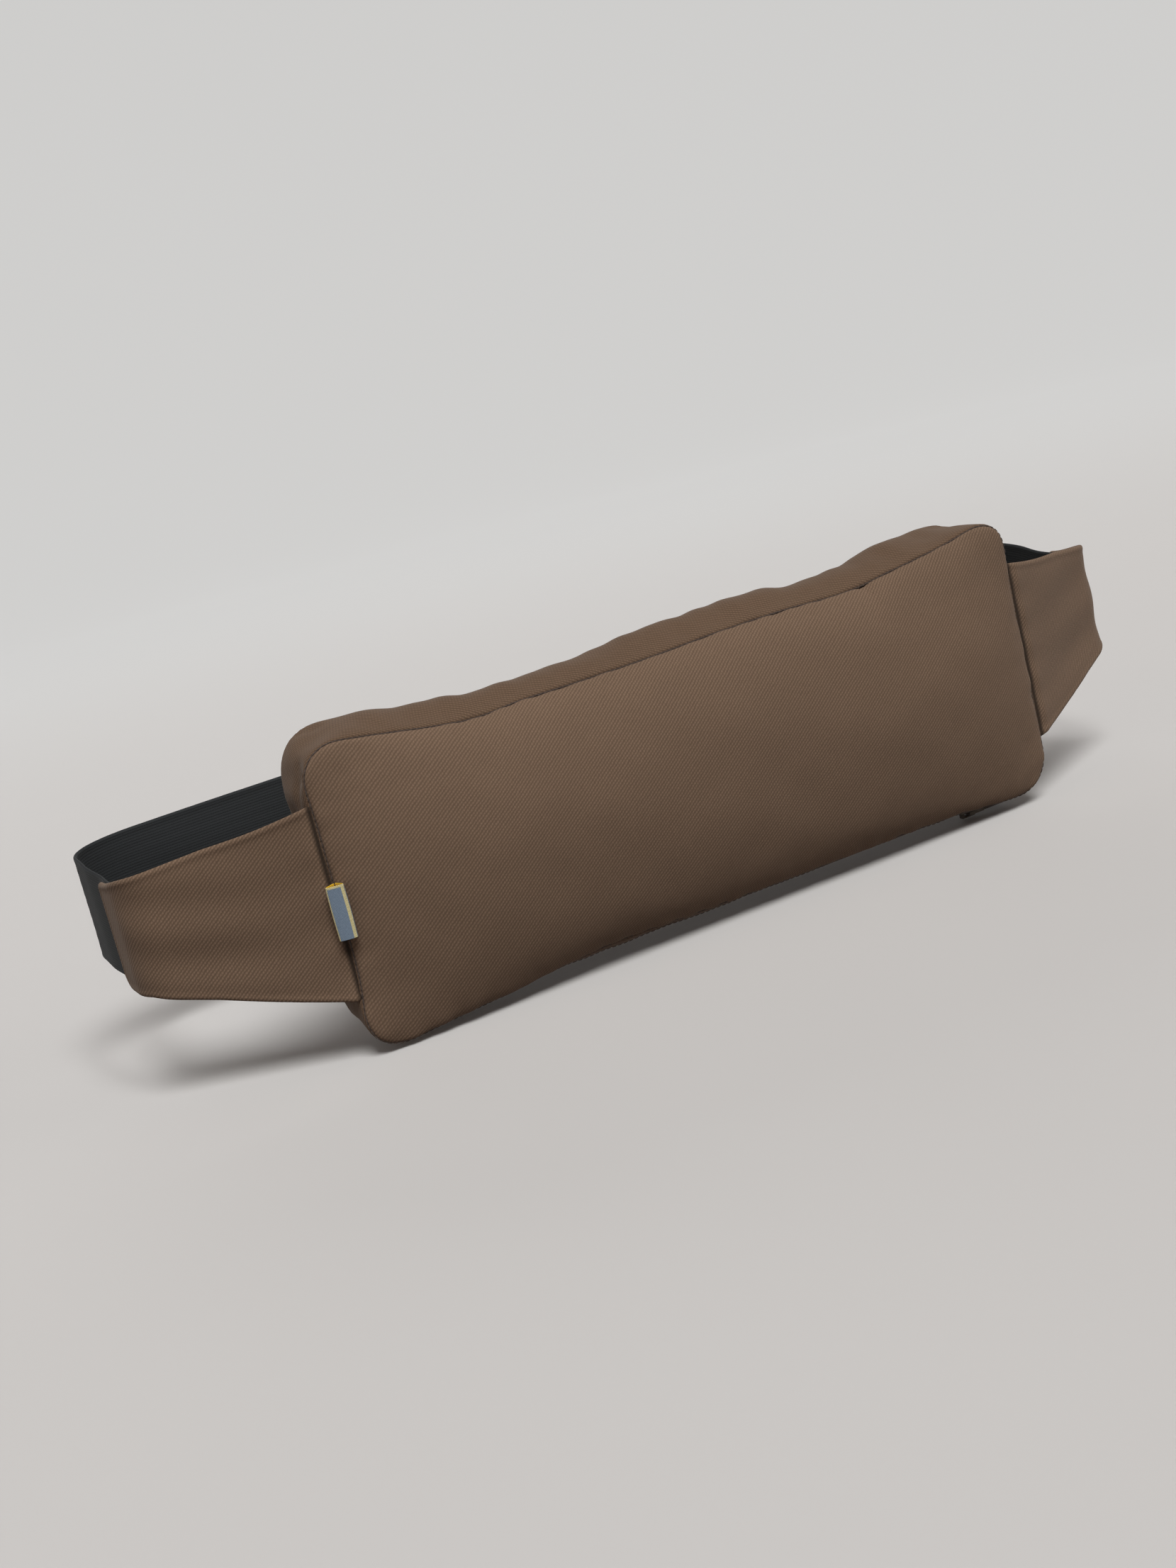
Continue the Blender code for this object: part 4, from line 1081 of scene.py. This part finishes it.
lab_lo, lab_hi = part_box("side_label")
apex = (-A + 0.9 * MM, SY - 0.4 * MM)
outd = (-math.sin(math.radians(19)), -math.cos(math.radians(19)))
lab_lo.z, lab_hi.z = lab_lo.z + 1.0 * MM, lab_hi.z - 1.5 * MM
sided = (outd[1], -outd[0])
shape = np.array([(0.45, 0.0), (1.3, 0.9), (2.8, 2.4), (4.1, 3.9), (4.6, 4.9), (4.2, 5.6), (2.9, 5.9), (1.4, 6.0), (0, 6.0), (-1.4, 5.95), (-2.9, 5.8), (-4.2, 5.4), (-4.6, 4.7), (-4.0, 3.7), (-2.7, 2.3), (-1.3, 0.9), (-0.45, 0.0)]) * MM * np.array([0.83, 1.0])
t = np.linspace(0, len(shape) - 1, 72)
ring = read_curve(shape, t)
tan = np.gradient(ring, axis=0)
nrm = np.stack([tan[:, 1], -tan[:, 0]], axis=1)
nrm /= np.linalg.norm(nrm, axis=1, keepdims=True)
if (nrm * (ring - ring.mean(0))).sum() < 0:
    nrm = -nrm
zs = dense(lab_hi.z - lab_lo.z, 1.5 * MM, (0, .15, .4, .8))
along = np.concatenate([[0], np.cumsum(np.linalg.norm(np.diff(ring, axis=0), axis=1))])
U = along - along[-1] / 2


def label_place(off):
    q = ring[:, None, :] + nrm[:, None, :] * off[..., None]
    zz = lab_lo.z + zs[None, :] + 0 * q[..., 0]
    # the loop's mouth opens a little at the top and it leans along the seam
    grow = 1 + 0.06 * np.sin((zz - lab_lo.z) / (lab_hi.z - lab_lo.z) * math.pi)
    a, b = q[..., 0] * grow, q[..., 1] * (0.88 + 0.12 * grow)
    return np.stack([apex[0] + sided[0] * a + outd[0] * b, apex[1] + sided[1] * a + outd[1] * b, zz], axis=-1)


dz_edge = np.minimum(zs, zs[-1] - zs)
rim = np.sqrt(np.maximum(1 - np.clip(1 - dz_edge / (0.2 * MM), 0, 1) ** 2, 0))[None, :]
uvl = np.stack([np.repeat(U[:, None], len(zs), 1), np.repeat((lab_lo.z + zs)[None, :], len(U), 0)], axis=-1)
label = slab("side_label_ribbon", label_place(0.22 * MM * rim), label_place(-0.22 * MM * rim), uvl, label_material(), inner_uv=uvl + np.array([0, 0.1]))
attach(label, "root")
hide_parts("side_label")


# ------------------------------------------------------------------ zip
def coil_rows(name, node, toward):
    """One row of coil teeth: each turn of the nylon is a small rounded link, fat at the middle line."""
    lo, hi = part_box(node)
    pitch = 1.25 * MM
    n = int((hi.x - lo.x) / pitch)
    verts, faces = [], []
    # the heads of the two rows lie between each other along the middle line
    inner_y = ZIP_Y + 0.3 * MM if toward > 0 else ZIP_Y - 0.3 * MM
    outer_y = lo.y if toward > 0 else hi.y
    z0, z1 = lo.z, hi.z
    half = 0.27 * MM
    path = [(outer_y, z1 - 0.35 * MM), (outer_y, z0 + 0.7 * MM), (outer_y + (inner_y - outer_y) * 0.3, z0 + 0.2 * MM), (outer_y + (inner_y - outer_y) * 0.75, z0 + 0.1 * MM), (inner_y, z0 + 0.5 * MM), (inner_y, z1 - 0.5 * MM), (outer_y + (inner_y - outer_y) * 0.75, z1 - 0.15 * MM)]
    for i in range(n):
        x = lo.x + (i + (0.25 if toward > 0 else 0.75)) * pitch
        base = len(verts)
        for k, (y, z) in enumerate(path):
            a = path[max(k - 1, 0)]
            b = path[min(k + 1, len(path) - 1)]
            t = Vector((0, b[0] - a[0], b[1] - a[1])).normalized()
            w = Vector((1, 0, 0))
            u = t.cross(w)
            fat = 1.35 if k in (4, 5) else 1.0
            lean = (0.12 if toward > 0 else -0.12) * MM * k / 3
            for q in range(5):
                ang = 2 * math.pi * q / 5
                verts.append(Vector((x + lean, y, z)) + (w * math.cos(ang) * fat + u * math.sin(ang)) * half)
        m = len(path)
        for k in range(m - 1):
            for q in range(5):
                a, b = base + k * 5 + q, base + k * 5 + (q + 1) % 5
                faces.append((a, b, b + 5, a + 5))
        faces.append(tuple(base + q for q in reversed(range(5))))
        faces.append(tuple(base + (m - 1) * 5 + q for q in range(5)))
    o = make_object(name, verts, faces, MAT["coil"])
    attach(o, "root")
    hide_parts(node)
    return o


coil_rows("zip_coil_front_teeth", "zip_coil_front", 1)
coil_rows("zip_coil_back_teeth", "zip_coil_back", -1)


def tape_piece(node):
    lo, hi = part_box(node)
    xs = np.linspace(-STRIP_END - 2.5 * MM, STRIP_END + 2.5 * MM, 120)
    ys = dense(hi.y - lo.y, 1.2 * MM, (0, .2, .5)) + lo.y
    X, Y = np.meshgrid(xs, ys, indexing="ij")
    # beyond the stops the two tapes are drawn together
    inner = (Y - lo.y) / (hi.y - lo.y) if node.endswith("front") else (Y - hi.y) / (hi.y - lo.y)
    Y = Y + inner * 0.88 * MM * smooth_step((np.abs(X) - 156.5 * MM) / (4 * MM))
    zm, h = (lo.z + hi.z) / 2, (hi.z - lo.z) / 2 * 0.8
    rib = 0.06 * MM * np.cos((Y - lo.y) * 2 * math.pi / (2.4 * MM))
    d = np.minimum(Y - lo.y, hi.y - Y)
    rim = np.sqrt(np.maximum(1 - np.clip(1 - d / (0.3 * MM), 0, 1) ** 2, 0))
    a = np.stack([X, Y, zm - (h + rib) * rim], -1)
    b = np.stack([X, Y, zm + (h + rib) * rim], -1)
    o = slab(node + "_weave", a, b, np.stack([X, Y], -1), MAT["tape"])
    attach(o, "root")
    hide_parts(node)


tape_piece("zip_tape_front")
tape_piece("zip_tape_back")

for node in ("zip_slider", "zip_pull", "zip_top_stop_front", "zip_top_stop_back", "zip_bottom_stop"):
    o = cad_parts[node]
    o.data.materials.clear()
    o.data.materials.append(MAT["metal"])
    bev = o.modifiers.new("worn_edges", "BEVEL")
    bev.width, bev.segments, bev.limit_method, bev.angle_limit = 0.18 * MM, 2, "ANGLE", math.radians(40)


# ------------------------------------------------------------------ inside: calico bag and husks
def bag_outline(n=160, grow=0.0):
    """Rounded outline of the inner bag, in X and Z."""
    lo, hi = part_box("inner_bag_front")
    pts = rounded_loop(lo.x - grow, hi.x + grow, lo.z - grow, hi.z + grow, 26 * MM, 1.0 * MM)
    t = np.linspace(0, len(pts) - 1, n + 1)[:-1]
    return read_curve(pts, t)


def cover_front_y(X, Z):
    """Depth of the cover's front at (X, Z), from its nearest points."""
    xs, zs = FREST[:, 0, 0], FREST[0, :, 1]
    i, j = np.clip(np.searchsorted(FREST[:, FREST.shape[1] // 2, 0], X), 1, FREST.shape[0] - 2), np.clip(np.searchsorted(FREST[FREST.shape[0] // 2, :, 1], Z), 1, FREST.shape[1] - 2)
    return np.maximum(FP[i, j, 1], np.maximum(FP[i - 1, j - 1, 1], FP[i + 1, j + 1, 1]))


BAG_SHARES = np.concatenate([np.linspace(0.04, 0.9, 22), [0.93, 0.96, 0.98, 0.99, 1.0]])


def bag_surface(front, grow, shares, seed=53):
    """One side of the stuffed inner bag: rings from its middle out to its seam, with (n, m, 3) points."""
    lo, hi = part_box("inner_bag_front")
    out = bag_outline(grow=grow)
    half = hi.x - 60 * MM
    spine = np.clip(out[:, 0] / hi.x, -1, 1) * half
    mz = (lo.z + hi.z) / 2
    X = spine[:, None] + (out[:, :1] - spine[:, None]) * shares[None, :]
    Z = mz + (out[:, 1:] - mz) * shares[None, :]
    s = shares[None, :] + 0 * X
    lump = waves(np.stack([X, Z], -1), 22 * MM, seed) * 0.45 * MM + waves(np.stack([X, Z], -1), 9 * MM, seed + 1, 24) * 0.16 * MM
    gather = 0.5 * MM * np.sin(np.arange(len(out))[:, None] * 2 * math.pi * 3 / 8) * np.exp(-((1 - s) / 0.05) ** 2) * (s < 0.995)
    if front:
        y = -18.6 * MM - 29.0 * MM * (1 - s ** 4) + (lump + gather) * (1 - s ** 8)
        limit = cover_front_y(X, Z) + 2.6 * MM
        soft = 1.0 * MM
        y = np.where(y < limit + soft, limit + soft * np.exp(np.clip((y - limit - soft) / soft, -20, 0)), y)
        y = np.minimum(y, -18.6 * MM)
    else:
        y = -17.9 * MM + 13.0 * MM * (1 - s ** 6) + (lump + gather) * (1 - s ** 8)
    return np.stack([X, y, Z], -1)


def ring_mesh(name, P, Q, mat, uv=None):
    """A closed mesh from two nests of rings (n, m, 3), joined at the outer ring and capped at the inner one."""
    verts = np.concatenate([P.reshape(-1, 3), Q.reshape(-1, 3)])
    n, m = P.shape[:2]
    k = n * m
    F = []
    for i in range(n):
        a, b = i * m, ((i + 1) % n) * m
        for j in range(m - 1):
            F.append((a + j, b + j, b + j + 1, a + j + 1))
            F.append((k + a + j, k + a + j + 1, k + b + j + 1, k + b + j))
        F.append((a + m - 1, b + m - 1, k + b + m - 1, k + a + m - 1))
    F.append(tuple(i * m for i in reversed(range(n))))
    F.append(tuple(k + i * m for i in range(n)))
    o = make_object(name, verts, F, mat, np.concatenate([verts[:, [0, 2]]]), True, 60)
    face_out(o)
    return o


def bag_piece(name, node, front):
    P = bag_surface(front, -1.5 * MM, BAG_SHARES, 53 if front else 57)
    N = grid_normals(np.concatenate([P[-1:], P, P[:1]]))[1:-1]
    if (N[..., 1].mean() > 0) == front:
        N = -N
    o = ring_mesh(name, P, P - N * 0.5 * MM, MAT["calico"])
    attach(o, "root")
    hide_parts(node)


bag_piece("inner_bag_front_calico", "inner_bag_front", True)
bag_piece("inner_bag_back_calico", "inner_bag_back", False)
husk_shares = BAG_SHARES[:-3]
HF, HB = bag_surface(True, -1.5 * MM, husk_shares, 53), bag_surface(False, -1.5 * MM, husk_shares, 57)
HF[..., 1] += 1.5 * MM
HB[..., 1] -= 1.5 * MM
husk = ring_mesh("husk_filling", HF, HB, MAT["husk"])
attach(husk, "root")
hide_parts("husk_fill")

# ------------------------------------------------------------------ camera: the photograph's viewpoint, turned and lengthened so that the belt fills the frame
EYE = np.array([-0.421, -0.893, 0.210])
RIGHT = np.array([0.8281, -0.5166, -0.2177])
FORWARD = np.array([0.4386, 0.8389, -0.3223])
AIM_PX, MARGIN = (1659, 2212), 0.875


def aim(points):
    """Camera axes at EYE that keep the photograph's roll and put the middle of the points in the middle of the frame."""
    f, r = FORWARD / np.linalg.norm(FORWARD), RIGHT / np.linalg.norm(RIGHT)
    d = np.cross(f, r)
    v = points - EYE
    for _ in range(6):
        q = np.stack([v @ r, v @ d, v @ f], axis=1)
        px, py = q[:, 0] / q[:, 2], q[:, 1] / q[:, 2]
        cx, cy = (px.min() + px.max()) / 2, (py.min() + py.max()) / 2
        nf = f + r * cx + d * cy
        nf /= np.linalg.norm(nf)
        r = r - nf * (r @ nf)
        r /= np.linalg.norm(r)
        f, d = nf, np.cross(nf, r)
    q = np.stack([v @ r, v @ d, v @ f], axis=1)
    px, py = q[:, 0] / q[:, 2], q[:, 1] / q[:, 2]
    return f, r, d, px.max() - px.min(), py.max() - py.min()


cloud = []
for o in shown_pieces():
    if o.type == "MESH":
        co = np.zeros(len(o.data.vertices) * 3, np.float32)
        o.data.vertices.foreach_get("co", co)
        cloud.append(co.reshape(-1, 3).astype(float)[::7])
f, r, d, wide, tall = aim(np.concatenate(cloud))
data = bpy.data.cameras.new("camera")
cam = bpy.data.objects.new("camera", data)
SCENE.collection.objects.link(cam)
data.sensor_width, data.sensor_fit = 36.0, "AUTO"
focal_px = min(MARGIN * AIM_PX[0] / wide, MARGIN * AIM_PX[1] / tall)
data.lens = focal_px * 36.0 / AIM_PX[1]
data.clip_start, data.clip_end = 0.05, 50
cam.matrix_world = Matrix(((r[0], -d[0], -f[0], EYE[0]), (r[1], -d[1], -f[1], EYE[1]), (r[2], -d[2], -f[2], EYE[2]), (0, 0, 0, 1)))
SCENE.camera = cam

# ------------------------------------------------------------------ floor and light
FLOOR_Z = CAD_LO.z - 0.6 * MM
floor_mat = noisy("pale_floor", (0.60, 0.595, 0.585), 3, 0.03, 0.85, specular=0.1)
profile = [(0.0, 0.0), (0.5, 0.0), (1.5, 0.0), (2.6, 0.0)] + [(2.6 + 1.3 * math.sin(t), 1.3 - 1.3 * math.cos(t)) for t in np.linspace(0, math.pi / 2, 15)[1:]] + [(3.9, 2.0), (3.9, 2.8)]
verts = [(0, 0, FLOOR_Z)] + [(q * math.cos(2 * math.pi * k / 96), q * math.sin(2 * math.pi * k / 96), FLOOR_Z + h) for q, h in profile[1:] for k in range(96)]
faces = [(0, 1 + k, 1 + (k + 1) % 96) for k in range(96)]
for j in range(len(profile) - 2):
    a = 1 + j * 96
    faces += [(a + k, a + 96 + k, a + 96 + (k + 1) % 96, a + (k + 1) % 96) for k in range(96)]
# away from the belt the sweep glows evenly, so that it is as pale behind the belt as in front of it
tree = floor_mat.node_tree
shader = tree.nodes["Principled BSDF"]
where, flat, far = (tree.nodes.new(k) for k in ("ShaderNodeTexCoord", "ShaderNodeVectorMath", "ShaderNodeMapRange"))
flat.operation = "MULTIPLY"
flat.inputs[1].default_value = (1, 1, 0)
size = tree.nodes.new("ShaderNodeVectorMath")
size.operation = "LENGTH"
tree.links.new(where.outputs["Object"], flat.inputs[0])
tree.links.new(flat.outputs[0], size.inputs[0])
tree.links.new(size.outputs["Value"], far.inputs["Value"])
far.interpolation_type = "SMOOTHSTEP"
far.inputs["From Min"].default_value, far.inputs["From Max"].default_value = 0.6, 2.4
blend = tree.nodes.new("ShaderNodeMix")
blend.data_type = "RGBA"
tree.links.new(far.outputs[0], blend.inputs["Factor"])
tree.links.new(shader.inputs["Base Color"].links[0].from_socket, blend.inputs[6])
blend.inputs[7].default_value = (0.02, 0.02, 0.02, 1)
tree.links.new(blend.outputs[2], shader.inputs["Base Color"])
shader.inputs["Emission Color"].default_value = (0.60, 0.595, 0.585, 1)
tree.links.new(far.outputs[0], shader.inputs["Emission Strength"])
floor = make_object("floor", verts, faces, floor_mat)
floor.visible_diffuse = False             # the pale floor is seen, and throws no light up under the cushion
floor.visible_shadow = False      # the sweep's far walls don't stand in the way of the side lights


def sun_light(name, direction, power, angle, color):
    """A broad, even light from one side, as from a large soft box."""
    l = bpy.data.lights.new(name, "SUN")
    l.energy, l.angle, l.color = power, math.radians(angle), color
    o = bpy.data.objects.new(name, l)
    o.rotation_mode = "QUATERNION"
    o.rotation_quaternion = Vector(direction).to_track_quat("Z", "Y")
    SCENE.collection.objects.link(o)


sun_light("key", (-0.04, -0.54, 0.84), 2.78, 30, (1.0, 0.99, 0.985))
sun_light("right_side", (0.88, -0.42, 0.22), 0.5, 60, (1.0, 0.97, 0.94))
sun_light("left_side", (-0.93, -0.28, 0.24), 0.28, 60, (1.0, 0.93, 0.88))
sun_light("back", (0.22, 0.96, 0.16), 1.1, 50, (1.0, 0.99, 0.98))
world = bpy.data.worlds.new("studio")
world.use_nodes = True
WORLD_LIGHT = 0.12
world.node_tree.nodes["Background"].inputs[0].default_value = (1.0, 0.84, 0.77, 1)
world.node_tree.nodes["Background"].inputs[1].default_value = WORLD_LIGHT
SCENE.world = world
SCENE.view_settings.view_transform = "Standard"
